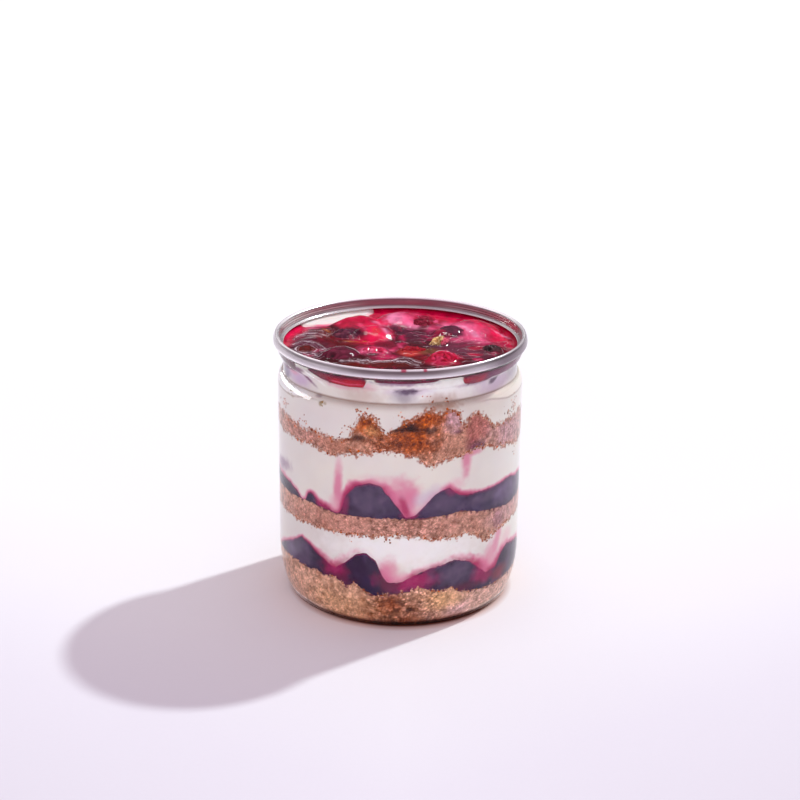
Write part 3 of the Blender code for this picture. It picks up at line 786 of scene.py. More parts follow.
def buildLayer(name, node, slot, low, high, finish, paint):
    rings, colours = layerRings(seams[low], seams[high], paint)
    return dress(ringSolid(name, rings, finishes[finish], colours), slot, node)


# The crumb layers. A grain's tone is made of its own lightness, the gaps, pits and broad clumps, and it is
# stronger near the middle of the front
grainTone = {
    "own": 2.0, "gap": 1.1, "pits": 1.0, "clumps": 0.6, "darker": 1.2, "lightest": 0.85, "raise": 0.1,
    "middle": 3, "middleRough": 1.1, "channels": (0.85, 1.0, 1.15),
}


def paintCrumb(look, creamSides=(), darkSides=()):
    seed, size = look["seed"], look["grain"]

    def paint(angle, z, points):
        colours = np.broadcast_to(crumbPaint[look["paint"]], points.shape).copy()
        colours = mixIn(colours, 0.5 + 0.5 * lumps(points, 9, seed, 2), crumbPaint["tan"])
        colours = mottled(colours, points, 0.6, 0.0, 0.7, 2.2, seed + 1, 3, crumbPaint["brown"])
        colours = mottled(colours, points, 0.5, 0.25, 0.7, 1.1, seed + 2, 2, crumbPaint["burnt"])
        colours = paintSpots(colours, angle, z, points, look["spots"], crumbPaint, seed + 3)
        pits = smoothStep(0.22, 0.5, lumps(points, size * 1.5, seed + 22, 2))
        own, gap = grainCells(points, size * 1.2, seed + 20)
        grain = grainTone["own"] * (own - 0.5) - grainTone["gap"] * smoothStep(0.40, 0.0, gap)
        clumps = lumps(points, size * 3.4, seed + 24, 2)
        grain = grain - grainTone["pits"] * pits + grainTone["clumps"] * clumps
        fromMiddle = np.abs(angle - grainTone["middle"])
        grain = np.minimum(grain * np.where(grain < 0, grainTone["darker"], 1.0), grainTone["lightest"])
        grain = grain + look["lift"] * smoothStep(34, 12, fromMiddle) + grainTone["raise"]
        rough = look["rough"] * (1 + grainTone["middleRough"] * smoothStep(22, 10, fromMiddle))
        colours = colours * np.exp((rough * grain)[..., None] * np.array(grainTone["channels"]))
        for name in darkSides:
            near = seamDistance(z, seams[name]["wall"], 1.4)
            colours = mixIn(colours, 0.85 * strewn(points, near, 1.3, 0.8, seed + 30), compotePaint["wine"])
        for name in creamSides:
            near = seamDistance(z, seams[name]["wall"], 1.0)
            dust = strewn(points, near + 0.25, 1.0, 0.7, seed + 31)
            colours = mixIn(colours, 0.7 * dust, creamPaint["beige"])
        return colours
    return paint


baseSpots = (
    spot(2, 5, 20, 5.5, "brown", 0.75, soft=0.7),
    spot(-4, 9, 6, 3.2, "burnt", 0.7, soft=0.6),
    spot(5, 6, 1.7, 1.1, "dark", 0.85, soft=0.5),
    spot(15, 2.5, 1.5, 0.9, "dark", 0.8, soft=0.5),
    spot(3, 2.6, 2.2, 1.0, "burnt", 0.6, soft=0.6),
    spot(-14, 3.5, 2.0, 1.0, "burnt", 0.5, soft=0.6),
    spot(38, 6, 22, 5.5, "rosyTan", 0.8, soft=0.8),
    spot(30, 4, 6, 2.5, "lavender", 0.5, soft=0.8),
    spot(58, 6, 16, 6, "rosyTan", 0.8, soft=0.8),
    spot(22, 9, 9, 3.4, "gold", 0.6, soft=0.8),
    spot(-30, 6, 16, 5, "gold", 0.35, soft=0.9),
    # Painted shade along the foot, darkest at the bottom, and two thin painted highlights where the foot of
    # the plastic catches the light
    spot(0, 0.2, 62, 1.5, "burnt", 0.9, soft=0.6, bend=0.2),
    spot(64, 2.3, 26, 0.5, "glint", 0.9, soft=0.5, bend=0.1),
    spot(-66, 2.3, 24, 0.5, "glint", 0.8, soft=0.5, bend=0.1),
)
middleSpots = (
    spot(53.5, 30, 3.6, 3.2, "wine", 0.8, soft=0.5),
    spot(0, 32, 60, 5, "pinkish", 0.55, soft=0.8),
    spot(62, 31, 14, 4, "lavender", 0.5, soft=0.8),
)
upperSpots = (
    spot(-48, 57, 26, 4, "pinkish", 0.6, soft=0.8),
    spot(-28, 56.6, 12, 2.6, "brown", 0.5, soft=0.8),
    spot(-14, 64.3, 7.0, 4.6, "orange", 0.95, soft=0.6, bend=0.6, lump=1.4),
    spot(-16, 65.6, 2.2, 1.4, "burnt", 0.9, soft=0.8, bend=0.7, lump=1.0),
    spot(-12, 62.6, 3.0, 1.2, "gold", 0.8, soft=0.8, bend=0.7, lump=1.0),
    spot(4, 59.5, 19, 5.5, "brown", 0.9, soft=0.7, bend=0.6),
    spot(13, 65.6, 13, 4.4, "orange", 0.95, soft=0.6, bend=0.6, lump=1.6),
    spot(9, 61.0, 10, 4.0, "orange", 0.75, soft=0.8, bend=0.7, lump=1.6),
    spot(2, 60.0, 10, 3.4, "burnt", 0.6, soft=0.8, bend=0.8, lump=1.5),
    spot(5, 64.3, 4.0, 1.4, "dark", 0.95, soft=0.7, bend=0.7, lump=1.0),
    spot(10, 66.0, 5.0, 0.9, "burnt", 0.8, soft=0.8, lean=1.0, bend=0.7, lump=1.0),
    spot(14, 62.8, 4.4, 1.0, "dark", 0.95, soft=0.7, lean=1.6, bend=0.7, lump=1.0),
    spot(17, 66.6, 3.0, 0.8, "burnt", 0.75, soft=0.8, bend=0.7, lump=1.0),
    spot(-19, 60.2, 2.8, 1.0, "dark", 0.9, soft=0.7, bend=0.6, lump=1.0),
    spot(-28, 59.0, 6.0, 0.5, "burnt", 0.7, soft=0.8, bend=0.5),
    spot(25, 60, 9, 6.5, "base", 0.85, soft=0.6, bend=0.5),
    spot(25, 65.5, 4.4, 3.4, "lavender", 0.8, soft=0.6, bend=0.5),
    spot(39, 61.5, 7, 4.8, "brick", 0.72, soft=0.5, bend=0.5),
    spot(4, 63.4, 9, 0.7, "dark", 0.85, soft=0.7, lean=2.0, bend=0.9, lump=1.0),
    spot(9, 67.2, 9, 0.8, "burnt", 0.7, soft=0.8, lean=3.0, bend=0.6, lump=1.0),
    spot(6, 58.6, 12, 2.2, "burnt", 0.4, soft=0.9, bend=0.8, lump=1.2),
    spot(38, 55.6, 5, 1.6, "purple", 0.85, soft=0.7),
    spot(34, 57.4, 3, 1.6, "wine", 0.6, soft=0.8),
    spot(27.5, 61.5, 2.0, 0.6, "purple", 0.7, soft=0.7),
    spot(62, 57, 15, 6, "lavender", 0.7, soft=0.8),
)
# The grain's width in mm, how far its tones spread (rough) and how much lighter the middle of the front is.
# The base's side starts at sideFrom, and its floor lies within heelRadius.
crumbLooks = {
    "base": {
        "paint": "tan", "spots": baseSpots, "seed": 5, "grain": 0.66, "rough": 0.28, "lift": 0.1,
        "sideFrom": 2.6, "heelRadius": 33.4, "floorRadius": 14.0,
    },
    "middle": {
        "paint": "base", "spots": middleSpots, "seed": 25, "grain": 0.58, "rough": 0.21, "lift": 0.0,
    },
    "upper": {
        "paint": "base", "spots": upperSpots, "seed": 45, "grain": 0.60, "rough": 0.26, "lift": 0.50,
    },
}


# The lowest layer also covers the floor of the jar and fills its heel
def buildCrumbBase(look):
    top = seams["crumbBaseTop"]
    z, side = fineSide(np.full(columns, look["sideFrom"]), top["wall"])
    floor = [(radius, height - jarShape["reach"]) for radius, height in insideProfile
             if height < look["sideFrom"] and radius < look["heelRadius"]]
    floorRings = [onCircle(look["floorRadius"], angles, floor[0][1])]
    floorRings += [onCircle(radius, angles, height) for radius, height in floor[::2]]
    skin = paintCrumb(look, (), ("crumbBaseTop",))(np.broadcast_to(signedAngles, z.shape), z, side)
    plain = paintCrumb(look)
    highRings = innerCircles(top)
    rings = floorRings + list(side) + highRings[::-1]
    colours = [plain(signedAngles, ring[:, 2], ring) for ring in floorRings]
    colours += list(skin) + [skin[-1]] * len(highRings)
    piece = ringSolid("crumbBase", rings, finishes["crumbCoarse"], colours)
    return dress(piece, "crumb", "crumb_base")


buildCrumbBase(crumbLooks["base"])
buildLayer("crumbMiddle", "crumb_middle", "crumb", "crumbMiddleBottom", "crumbMiddleTop", "crumbFine",
           paintCrumb(crumbLooks["middle"], ("crumbMiddleBottom",), ("crumbMiddleTop",)))
buildLayer("crumbUpper", "crumb_upper", "crumb", "crumbUpperBottom", "crumbUpperTop", "crumbFine",
           paintCrumb(crumbLooks["upper"], ("crumbUpperBottom", "crumbUpperTop")))
print("crumb layers made")

# The compote layers, dark where whole berries lie at the wall and magenta where only juice does

lowerJuice = (
    spot(4, 16, 12, 3.4, "magenta", 0.95, soft=0.5),
    spot(-4, 15, 5, 3.0, "wine", 0.8, soft=0.6),
    spot(-31, 17.5, 6.5, 2.6, "magenta", 0.85, soft=0.5),
    spot(-28, 14.6, 7, 1.6, "wine", 0.75, soft=0.6),
    spot(-60, 18, 8, 5.0, "lilac", 0.35, soft=0.8),
    spot(43, 14, 6.5, 3.0, "magenta", 0.8, soft=0.5),
    spot(30, 11.5, 9, 1.5, "wine", 0.7, soft=0.7),
    spot(56, 12, 6, 2.0, "brick", 0.6, soft=0.7),
    spot(27, 17.0, 9, 3.4, "mist", 0.8, soft=0.9, bend=0.5),
    spot(-52, 19, 9, 3.0, "mist", 0.7, soft=0.9, bend=0.5),
    spot(10, 18.5, 1.4, 0.6, "core", 1.0, soft=0.3, lean=1.2, bend=0.1),
    spot(-13, 12, 3.0, 1.4, "blue", 0.7, soft=0.5),
)
middleJuice = (
    spot(-36.5, 37, 5, 1.3, "magenta", 1.0, soft=0.4),
    spot(-26, 40, 2.2, 4.5, "magenta", 0.75, soft=0.6),
    spot(5, 36.8, 4, 1.0, "magenta", 0.8, soft=0.5),
    spot(25, 43.5, 3.0, 1.5, "magenta", 0.7, soft=0.6),
    spot(-13, 41, 9, 4.6, "mist", 0.75, soft=0.9, bend=0.5),
    spot(22, 39.6, 10, 4.0, "mist", 0.7, soft=0.9, bend=0.5),
    spot(52, 38, 16, 3.4, "mist", 0.85, soft=0.9, bend=0.5),
    spot(45, 36.3, 12, 1.0, "blue", 0.5, soft=0.8),
    spot(63, 38, 9, 3, "lilac", 0.3, soft=0.8),
)


def paintCompote(spots, top, seed):
    def paint(angle, z, points):
        colours = np.broadcast_to(compotePaint["core"], points.shape).copy()
        colours = mottled(colours, points, 0.6, -0.2, 0.8, 4, seed, 3, compotePaint["blue"])
        # Painted reflection: lighter veils in tall streaks over the dark compote
        tall = points * (1, 1, 0.5)
        colours = mottled(colours, tall, 0.55, 0.1, 0.7, 2.4, seed + 7, 3, compotePaint["veil"])
        depth = seams[top]["wall"] - z
        edge = np.clip(1 - depth / (0.7 + 0.4 * lumps(points, 4, seed + 1)), 0, 1)
        colours = mixIn(colours, 0.75 * edge, compotePaint["magenta"])
        juice = smoothStep(0.15, 0.6, lumps(points, 8, seed + 3, 2) - (z - z.min()) * 0.05)
        colours = mixIn(colours, 0.85 * smoothStep(78, 95, np.abs(angle)) * juice, compotePaint["magenta"])
        return paintSpots(colours, angle, z, points, spots, compotePaint, seed + 5)
    return paint


buildLayer("compoteLower", "compote_lower", "compote", "crumbBaseTop", "compoteLowerTop", "compote",
           paintCompote(lowerJuice, "compoteLowerTop", 60))
buildLayer("compoteMiddle", "compote_middle", "compote", "crumbMiddleTop", "compoteMiddleTop", "compote",
           paintCompote(middleJuice, "compoteMiddleTop", 80))
print("compote layers made")

# The cream layers, stained by the compote under them

lowerHalo = (
    (-180, 0.7, 2.0), (-85, 0.6, 1.2), (-60, 0.6, 0.9), (-45, 0.8, 1.0), (-36, 0.95, 2.0), (-28, 1.0, 2.4),
    (-20, 0.9, 1.4), (-12, 0.75, 1.2), (-7, 0.7, 2.2), (0, 0.85, 1.8), (10, 0.95, 1.7), (22, 0.85, 1.6),
    (34, 1.0, 2.2), (42, 1.0, 2.8), (50, 0.9, 2.4), (60, 0.7, 1.6), (85, 0.6, 1.5), (130, 0.9, 2.6),
)
lowerStains = (
    # Painted light: the lower front of the cream made lighter
    spot(3, 25.6, 34, 5.4, "white", 0.95, soft=0.7),
    spot(-4, 18.5, 4.2, 3.6, "pink", 0.8, soft=0.8),
    spot(1, 16.6, 3.4, 1.8, "rose", 0.6, soft=0.7, lean=1.0),
    spot(46, 18, 4.2, 4.5, "pink", 0.75, soft=0.8, lean=0.6),
    spot(53.5, 24, 2.6, 5.0, "pink", 0.75, soft=0.8, lean=0.5),
    spot(62, 22, 5, 3.0, "rose", 0.5, soft=0.8),
)
middleHalo = (
    (-180, 0.8, 2.0), (-85, 0.7, 1.6), (-70, 0.7, 1.4), (-52, 0.5, 0.8), (-40, 0.9, 1.2), (-30, 0.9, 1.5),
    (-26, 1.0, 2.0), (-18, 0.9, 1.4), (-10, 0.8, 1.6), (-4, 0.9, 2.5), (3, 0.9, 2.4), (8, 0.35, 1.6),
    (18, 0.3, 1.3), (24, 0.9, 1.5), (29, 0.95, 1.5), (40, 0.6, 0.9), (60, 0.7, 0.9), (85, 0.7, 1.4),
    (130, 0.9, 2.4),
)
middleStains = (
    spot(1.5, 43.5, 6.5, 4.2, "pink", 0.85, soft=0.8),
    spot(4.5, 40.5, 3.2, 4.5, "pink", 0.8, soft=0.6, lean=0.3),
    spot(2.5, 39.5, 1.8, 3.0, "magenta", 0.85, soft=0.6, lean=-0.4),
    spot(-9, 47.6, 8, 1.4, "rose", 0.5, soft=0.8),
    spot(-29, 43.8, 2.0, 7.0, "pink", 0.9, soft=0.6, lean=0.10, bend=0.2),
    spot(-28.4, 50.5, 1.7, 2.2, "rose", 0.5, soft=0.8),
    spot(-31, 38.5, 2.6, 2.2, "rose", 0.6, soft=0.6),
    spot(-72, 43.3, 8, 2.2, "purple", 0.7, soft=0.6, lean=2.0),
    spot(13, 42.6, 5, 2.6, "lilac", 0.45, soft=0.8, lean=1.4),
    spot(32, 52, 2.3, 4.0, "pink", 0.85, soft=0.7),
    spot(36.5, 54.4, 4.2, 1.1, "pink", 0.75, soft=0.7),
    spot(27, 45.4, 3.5, 1.6, "rose", 0.5, soft=0.8),
)
upperStains = (
    # Painted light just under the rim, lifting the rim's shadow
    spot(20, 74.0, 30, 2.8, "white", 1.0, soft=0.8),
    spot(52, 69, 24, 5.0, "beige", 0.35, soft=0.9),
    spot(19, 71.4, 7, 1.6, "brown", 0.5, soft=0.9, bend=0.6),
    spot(22, 69.6, 6, 1.0, "brown", 0.7, soft=0.9, bend=0.7, lump=1.0),
    spot(4, 74.5, 8.0, 1.2, "lilac", 0.6, soft=0.9),
    spot(3.4, 74.5, 5.0, 1.0, "smudge", 1.0, soft=0.6, bend=0.5, lump=0.9),
    spot(1.5, 72.6, 5.0, 2.0, "slate", 0.6, soft=0.9),
    spot(-73, 72.4, 6.5, 2.2, "slate", 1.0, soft=0.5),
    spot(-58, 73.0, 10, 2.2, "lilac", 0.85, soft=0.9),
    spot(-62, 74.4, 4, 1.2, "pink", 0.6, soft=0.8),
    spot(-70, 74.8, 11, 2.4, "sidePurple", 1.0, soft=0.3, lean=8.0, bend=0.15),
    spot(-51, 74.6, 1.9, 2.2, "wine", 0.95, soft=0.5, lean=-3.2, bend=0.2),
    # A thin painted highlight on the neck
    spot(-44, 75.4, 1.6, 1.8, "white", 0.9, soft=0.6, lean=-3.0, bend=0.2),
    spot(-41, 70.1, 2.0, 0.55, "smudge", 0.95, soft=0.5),
    spot(1.5, 77.4, 11, 0.9, "purple", 0.8, soft=0.6, bend=0.5),
    spot(53, 72.8, 13, 3.2, "lilac", 0.6, soft=0.9),
    spot(50, 74.3, 2.4, 1.1, "smudge", 0.9, soft=0.5, lean=1.0),
    spot(78, 74.0, 12, 3.0, "slate", 0.6, soft=0.9),
    spot(-62, 67.6, 1.3, 0.4, "olive", 0.8, soft=0.6, bend=0.8, lump=0.8),
    spot(-58.6, 67.2, 1.0, 0.4, "olive", 0.6, soft=0.7, bend=0.8, lump=0.8),
    spot(-38.5, 68.2, 0.9, 0.5, "olive", 0.8, soft=0.6, bend=0.8, lump=0.8),
    spot(-36.6, 68.6, 0.9, 0.35, "olive", 0.6, soft=0.7, bend=0.8, lump=0.8),
    spot(-25, 75.4, 14, 1.6, "pink", 0.5, soft=0.5),
    spot(38, 75.1, 9, 0.8, "purple", 0.7, soft=0.7),
    spot(-18, 72.6, 9, 2.0, "brown", 0.35, soft=0.9),
)
# The groove under the neck: painted shade, a dark line where the thick bend of the plastic darkens the cream
# behind it, with a painted shadow fading below it. Towards the sides, from the angles given, it drops a
# little and becomes a painted highlight band, the light that the shoulder of the plastic reflects, with a
# painted dark outline.
groove = {
    "z": 70.45, "half": 0.34, "tail": 2.0, "dark": 0.95, "tailDark": 0.42, "bright": 0.9, "outline": 0.8,
    "outlineWidth": 0.16, "drop": 0.25, "dropFrom": (35, 70), "sideFrom": (36, 52), "wideFrom": (44, 62),
    "wide": (0.5, 0.8),
}
# Crumbs strewn over the cream beside a crumb layer: width, reach, amount and paint
creamDust = ((0.9, 1.5, 0.75, "base"), (0.7, 2.0, 0.85, "brown"), (0.6, 1.5, 0.8, "burnt"))


def grooveShade(colours, angle, z, points):
    line = groove["z"] - groove["drop"] * smoothStep(*groove["dropFrom"], np.abs(angle))
    line = line + 0.10 * lumps(points, 5, 171, 2)
    core = bell(z - line, groove["half"]) * (1 + 0.25 * lumps(points, 6, 172, 2))
    tail = smoothStep(line - groove["tail"], line, z) * smoothStep(line + 0.5, line, z)
    side = smoothStep(*groove["sideFrom"], np.abs(angle))
    colours = mixIn(colours, groove["tailDark"] * tail * (1 - side), creamPaint["groove"])
    colours = mixIn(colours, groove["dark"] * core, creamPaint["groove"])
    wide = groove["wide"][0] + groove["wide"][1] * smoothStep(*groove["wideFrom"], np.abs(angle))
    # Painted highlight: the light band on the shoulder, white on the left and warm on the right
    shine = side * smoothStep(1.15, 0.75, np.abs(z - line + 0.25 + wide) / wide)
    light = np.where(angle[..., None] < 0, creamPaint["white"], creamPaint["warm"])
    colours = mixIn(colours, groove["bright"] * shine, light)
    outline = side * bell(z - line + 0.5 + 2 * wide, groove["outlineWidth"])
    return mixIn(colours, groove["outline"] * outline, creamPaint["groove"])


def paintCream(low, halo, stains, dusty, seed, shade=None):
    def paint(angle, z, points):
        colours = np.broadcast_to(creamPaint["base"], points.shape).copy()
        colours = mixIn(colours, 0.5 + 0.6 * lumps(points, 12, seed, 2), creamPaint["cool"])
        if halo:
            mask = haloMask(angle, z, points, seams[low]["wall"], halo, seed + 1)
            colours = mixIn(colours, smoothStep(0.0, 0.55, mask), creamPaint["pink"])
            colours = mixIn(colours, smoothStep(0.32, 0.85, mask), creamPaint["magenta"])
        away = 0.7 * smoothStep(75, 95, np.abs(angle))
        colours = mottled(colours, points * (1, 1, 0.4), away, 0.25, 0.7, 6, seed + 2, 2, creamPaint["pink"])
        colours = paintSpots(colours, angle, z, points, stains, creamPaint, seed + 5)
        if shade:
            colours = shade(colours, angle, z, points)
        near = seamDistance(z, seams[dusty]["wall"], 2.2)
        for grain, reach, amount, name in creamDust:
            dust = strewn(points, near + 0.15, reach, grain, seed + len(name))
            colours = mixIn(colours, amount * dust * (near < 2.1), crumbPaint[name])
        return colours
    return paint


buildLayer("creamLower", "cream_lower", "cream", "compoteLowerTop", "crumbMiddleBottom", "cream",
           paintCream("compoteLowerTop", lowerHalo, lowerStains, "crumbMiddleBottom", 100))
buildLayer("creamMiddle", "cream_middle", "cream", "compoteMiddleTop", "crumbUpperBottom", "cream",
           paintCream("compoteMiddleTop", middleHalo, middleStains, "crumbUpperBottom", 120))
print("cream layers made")

# The topping

fruitShapes = {
    "berry_front_left": (-17.8, -12.2, (7.1, 6.3, 4.7), 2.9, 0.25, 20),
    "berry_left": (-17.0, 7.0, (5.2, 5.0, 4.3), 2.5, 0.45, 75),
    "berry_right": (15.6, 10.2, (5.6, 5.2, 4.4), 2.9, 0.25, 130),
    "berry_far_right": (27.4, -5.4, (4.0, 3.7, 3.1), 1.8, 0.3, 10),
    "berry_back": (6.8, 20.2, (3.8, 3.8, 3.3), 2.5, 0.45, 50),
    "berry_middle": (-1.0, 14.0, (3.8, 3.5, 3.0), 1.4, 0.3, 110),
    "berry_far_left": (-28.4, -4.2, (4.2, 4.6, 3.2), 0.7, 0.2, 0),
    "fruit_front": (12.8, -15.0, (5.4, 4.4, 3.7), 2.8, 0.8, 35),
    "fruit_shred": (-7.4, -8.2, (5.0, 3.3, 2.4), 1.7, 0.7, -20),
    "fruit_pulp": (4.0, -6.6, (4.9, 3.2, 2.2), 1.3, 0.7, 15),
    "biscuit_piece": (12.0, 0.4, (3.4, 1.7, 1.9), 2.5, 0.5, 38),
}
topShape = {
    "level": 77.2, "rings": 170, "wallRise": 0.95, "riseFrom": 34.4, "slant": 2.856,
    "calm": (36.0, 33.0), "broadWave": 0.18, "fineWave": 0.05, "foldHeight": 0.10, "foldsTo": (24, 12),
    "rises": ((-8.0, 10.5, 2.9, 7.4), (-14.0, 22.0, 2.0, 8.8), (0.0, 24.5, 2.6, 8.4), (22.5, 15.0, 3.0, 8.8),
              (15.4, 9.8, 2.7, 6.6), (-25.0, 3.0, 0.9, 7.2), (24.0, 0.5, 1.1, 6.7), (3.5, 7.0, 0.9, 5.7)),
    "patchStart": -166.0, "patchEnd": -120.0, "patchDepth": 7.5, "patchEdge": 35.75, "patchMargin": 0.6,
    "patchLevel": 77.05, "patchLift": 0.35, "patchSink": 1.2, "patchFoot": 71.0, "patchWall": 36.75,
    "patchFootRadii": (34.0, 34.6), "patchSteps": 120, "patchRows": 34,
}


# How far out a place lies in a turned oval: 1 at the oval's edge
def ovalShare(x, y, middle, turn, wide, deep):
    turned = math.radians(turn)
    along = ((x - middle[0]) * math.cos(turned) + (y - middle[1]) * math.sin(turned)) / wide
    across = (-(x - middle[0]) * math.sin(turned) + (y - middle[1]) * math.cos(turned)) / deep
    return np.hypot(along, across)


# The gel climbs a little up each fruit
def fruitMeniscus(x, y):
    lift = 0 * x
    for px, py, axes, above, _, turn in fruitShapes.values():
        waterline = math.sqrt(max(0.05, 1 - ((above - axes[2]) / axes[2]) ** 2))
        away = ovalShare(x, y, (px, py), turn, axes[0], axes[1])
        outside = np.maximum(0, away - waterline * 0.92) * axes[0]
        lift = np.maximum(lift, min(above * 0.45, 1.0) * np.exp(-(outside / 1.1) ** 1.3))
    return lift


def patchInner(share):
    depth = topShape["patchMargin"] + topShape["patchDepth"] * np.sin(math.pi * share) ** 0.8
    return topShape["patchEdge"] - depth


def wallRise(radius):
    return topShape["wallRise"] * smoothStep(topShape["riseFrom"], neckRadius, radius)


# How far inside the bare patch of cream a place lies, in mm
def patchShare(x, y):
    angle = np.degrees(np.arctan2(x, -y))
    share = np.clip((angle - topShape["patchStart"]) / (topShape["patchEnd"] - topShape["patchStart"]), 0, 1)
    return np.where((share > 0) & (share < 1), np.hypot(x, y) - patchInner(share), -5.0)


# Marks on the gel lie where they show from the front: a rise of 1 mm moves its marks 2.86 mm (the slant) back
def shownAt(x, y, z):
    return x, y + topShape["slant"] * (z - topShape["level"])


def lineDistance(x, y, line):
    nearest = np.full(np.shape(x), 99.0)
    for (ax, ay), (bx, by) in zip(line, line[1:]):
        alongX, alongY = bx - ax, by - ay
        share = np.clip(((x - ax) * alongX + (y - ay) * alongY) / (alongX ** 2 + alongY ** 2), 0, 1)
        nearest = np.minimum(nearest, np.hypot(x - ax - share * alongX, y - ay - share * alongY))
    return nearest


# Thin ridges of gel that catch the light as outlines. The first of them, as many as ridgeShape calls bright,
# are the strongest, and each of those has a weaker twin beside it
ridgeLines = (
    (
        (-31.4, -5.3), (-30.4, -2.6), (-28.2, -1.5), (-25.9, -2.8), (-24.9, -5.4), (-26.0, -8.3),
        (-28.4, -9.2), (-30.6, -8.0), (-31.4, -5.3),
    ),
    (
        (-32.5, -1.0), (-30.2, 2.2), (-27.0, 2.0), (-24.6, -0.6), (-22.8, -4.0), (-21.4, -7.0),
        (-22.4, -10.0), (-24.2, -13.0), (-26.0, -14.5),
    ),
    ((-31.2, 8.4), (-28.6, 11.0), (-25.4, 11.2), (-23.4, 9.4)), ((-32.6, 4.4), (-31.4, 7.4), (-29.6, 9.0)),
    ((-29.4, 12.8), (-26.6, 14.0), (-24.0, 13.4)),
    ((-24.6, -11.6), (-25.6, -9.4), (-27.4, -10.6), (-28.6, -12.4)),
    ((-23.2, -5.6), (-24.2, -7.0), (-22.8, -8.4)),
    (
        (-17.5, -16.4), (-13.6, -16.1), (-11.8, -17.2), (-10.0, -18.4), (-8.5, -17.0), (-6.0, -16.2),
        (-2.6, -16.2), (-1.2, -14.6), (0.6, -13.2), (2.8, -13.8), (4.4, -15.8), (6.0, -17.6),
    ),
    ((-12.4, -14.8), (-11.0, -15.8), (-9.8, -15.0), (-9.2, -16.6)),
    ((-1.0, -16.6), (1.6, -16.2), (3.4, -18.4), (5.2, -20.2)),
    ((-9.6, -9.0), (-8.2, -8.2), (-6.8, -9.2), (-7.6, -10.4), (-9.4, -10.0), (-9.6, -9.0)),
    ((20.4, 1.2), (24.0, 2.6), (28.0, 2.9), (32.3, 4.1), (32.7, 2.4), (31.2, -0.6), (32.1, -3.6)),
    ((17.6, -12.0), (19.4, -13.2), (21.4, -12.4), (23.6, -11.0)),
    ((17.0, -5.6), (19.0, -3.0), (22.0, -5.0), (24.6, -4.0)),
    ((16.0, -8.6), (18.4, -7.2), (20.4, -8.8), (23.4, -7.4)),
    ((16.0, 3.0), (18.0, 6.0), (20.2, 4.4), (22.6, 3.0)), ((14.6, 5.6), (16.2, 7.8), (18.2, 7.4)),
    ((24.8, -8.0), (25.6, -4.6), (27.0, -2.2), (28.8, -1.2), (30.2, -3.4), (31.0, -7.0)),
    ((19.6, -1.4), (22.0, -0.6), (24.6, -1.4), (26.4, -0.4)), ((18.6, -10.6), (21.0, -10.0), (23.0, -11.0)),
    ((3.0, 5.0), (6.0, 6.4), (7.6, 4.4), (6.0, 2.8), (4.0, 3.2)), ((-9.2, 1.2), (-6.0, 4.6), (-3.0, 4.2)),
    ((4.0, 9.0), (6.6, 10.4), (9.2, 9.0), (11.0, 10.4)), ((2.4, 12.0), (5.0, 13.4), (8.0, 12.4)),
    ((8.0, 6.0), (10.4, 7.2), (12.4, 5.8)), ((6.8, -1.5), (9.0, -1.9), (11.4, -1.4)),
    ((-4.4, 9.4), (-1.8, 10.8), (0.4, 9.6)), ((-1.6, 2.4), (0.8, 3.6), (2.6, 1.4)),
    ((18.4, -16.6), (19.6, -15.2), (21.6, -15.6), (24.0, -13.6)),
    ((4.4, -22.2), (8.0, -21.6), (12.0, -20.6), (15.0, -20.4)),
    ((-6.0, -12.6), (-3.6, -13.2), (-2.0, -12.0)),
    ((-20.4, 13.4), (-18.2, 14.6), (-16.6, 13.4), (-17.4, 11.8)),
    ((-14.8, 4.8), (-13.4, 5.8), (-12.2, 4.6)),
)
ridgeShape = {
    "height": 0.28, "width": 0.19, "wander": 0.55, "flatten": 0.5, "bright": 10, "faint": 0.56,
    "twin": 0.62, "twinShare": 0.55,
}
# Small drops that catch one glint each; they also get the painted highlight of the ridges
drops = (
    (-16.4, 13.6), (-15.6, 12.4), (-14.4, 5.6), (-13.2, 6.2), (16.6, 15.8), (18.0, 15.9), (16.9, 8.2),
    (19.0, 7.0), (23.4, 9.0), (9.4, 12.4), (-7.4, 14.0), (-9.6, 2.4), (-2.4, 17.6), (0.4, 16.0),
    (-1.0, 19.4), (4.4, 15.6), (11.0, 25.4), (7.0, 28.4), (8.2, 25.6), (6.4, 24.0), (-22.6, 14.0),
    (-24.0, 12.6), (-20.6, 15.4), (21.0, 4.6), (13.6, 9.8), (5.2, 8.4), (26.4, -6.4), (-6.8, 10.2),
    (3.0, -5.0), (1.2, -8.4), (22.6, -13.8), (-4.8, -10.6), (29.2, -4.2), (-18.4, -6.4),
)
dropShape = {"height": 0.20, "width": 0.25}


def ridgeShare(spots, x, y):
    x = x + ridgeShape["wander"] * lumps(spots, 1.9, 14, 2)
    y = y + ridgeShape["wander"] * lumps(spots, 1.9, 15, 2)
    ridge, flat, width = 0 * x, ridgeShape["flatten"], ridgeShape["width"]
    beside = ridgeShape["twin"] * (1 + 0.9 * lumps(spots, 2.2, 37, 2))
    for number, line in enumerate(ridgeLines):
        away = lineDistance(x, flat * y, [(px, flat * py) for px, py in line])
        if number < ridgeShape["bright"]:
            strand = np.maximum(bell(away, width), ridgeShape["twinShare"] * bell(away - beside, width))
        else:
            strand = ridgeShape["faint"] * bell(away, width)
        ridge = np.maximum(ridge, strand)
    for cx, cy in drops:
        bead = dropShape["height"] / ridgeShape["height"] * bell(np.hypot(x - cx, y - cy), dropShape["width"])
        ridge = np.maximum(ridge, bead)
    return ridge


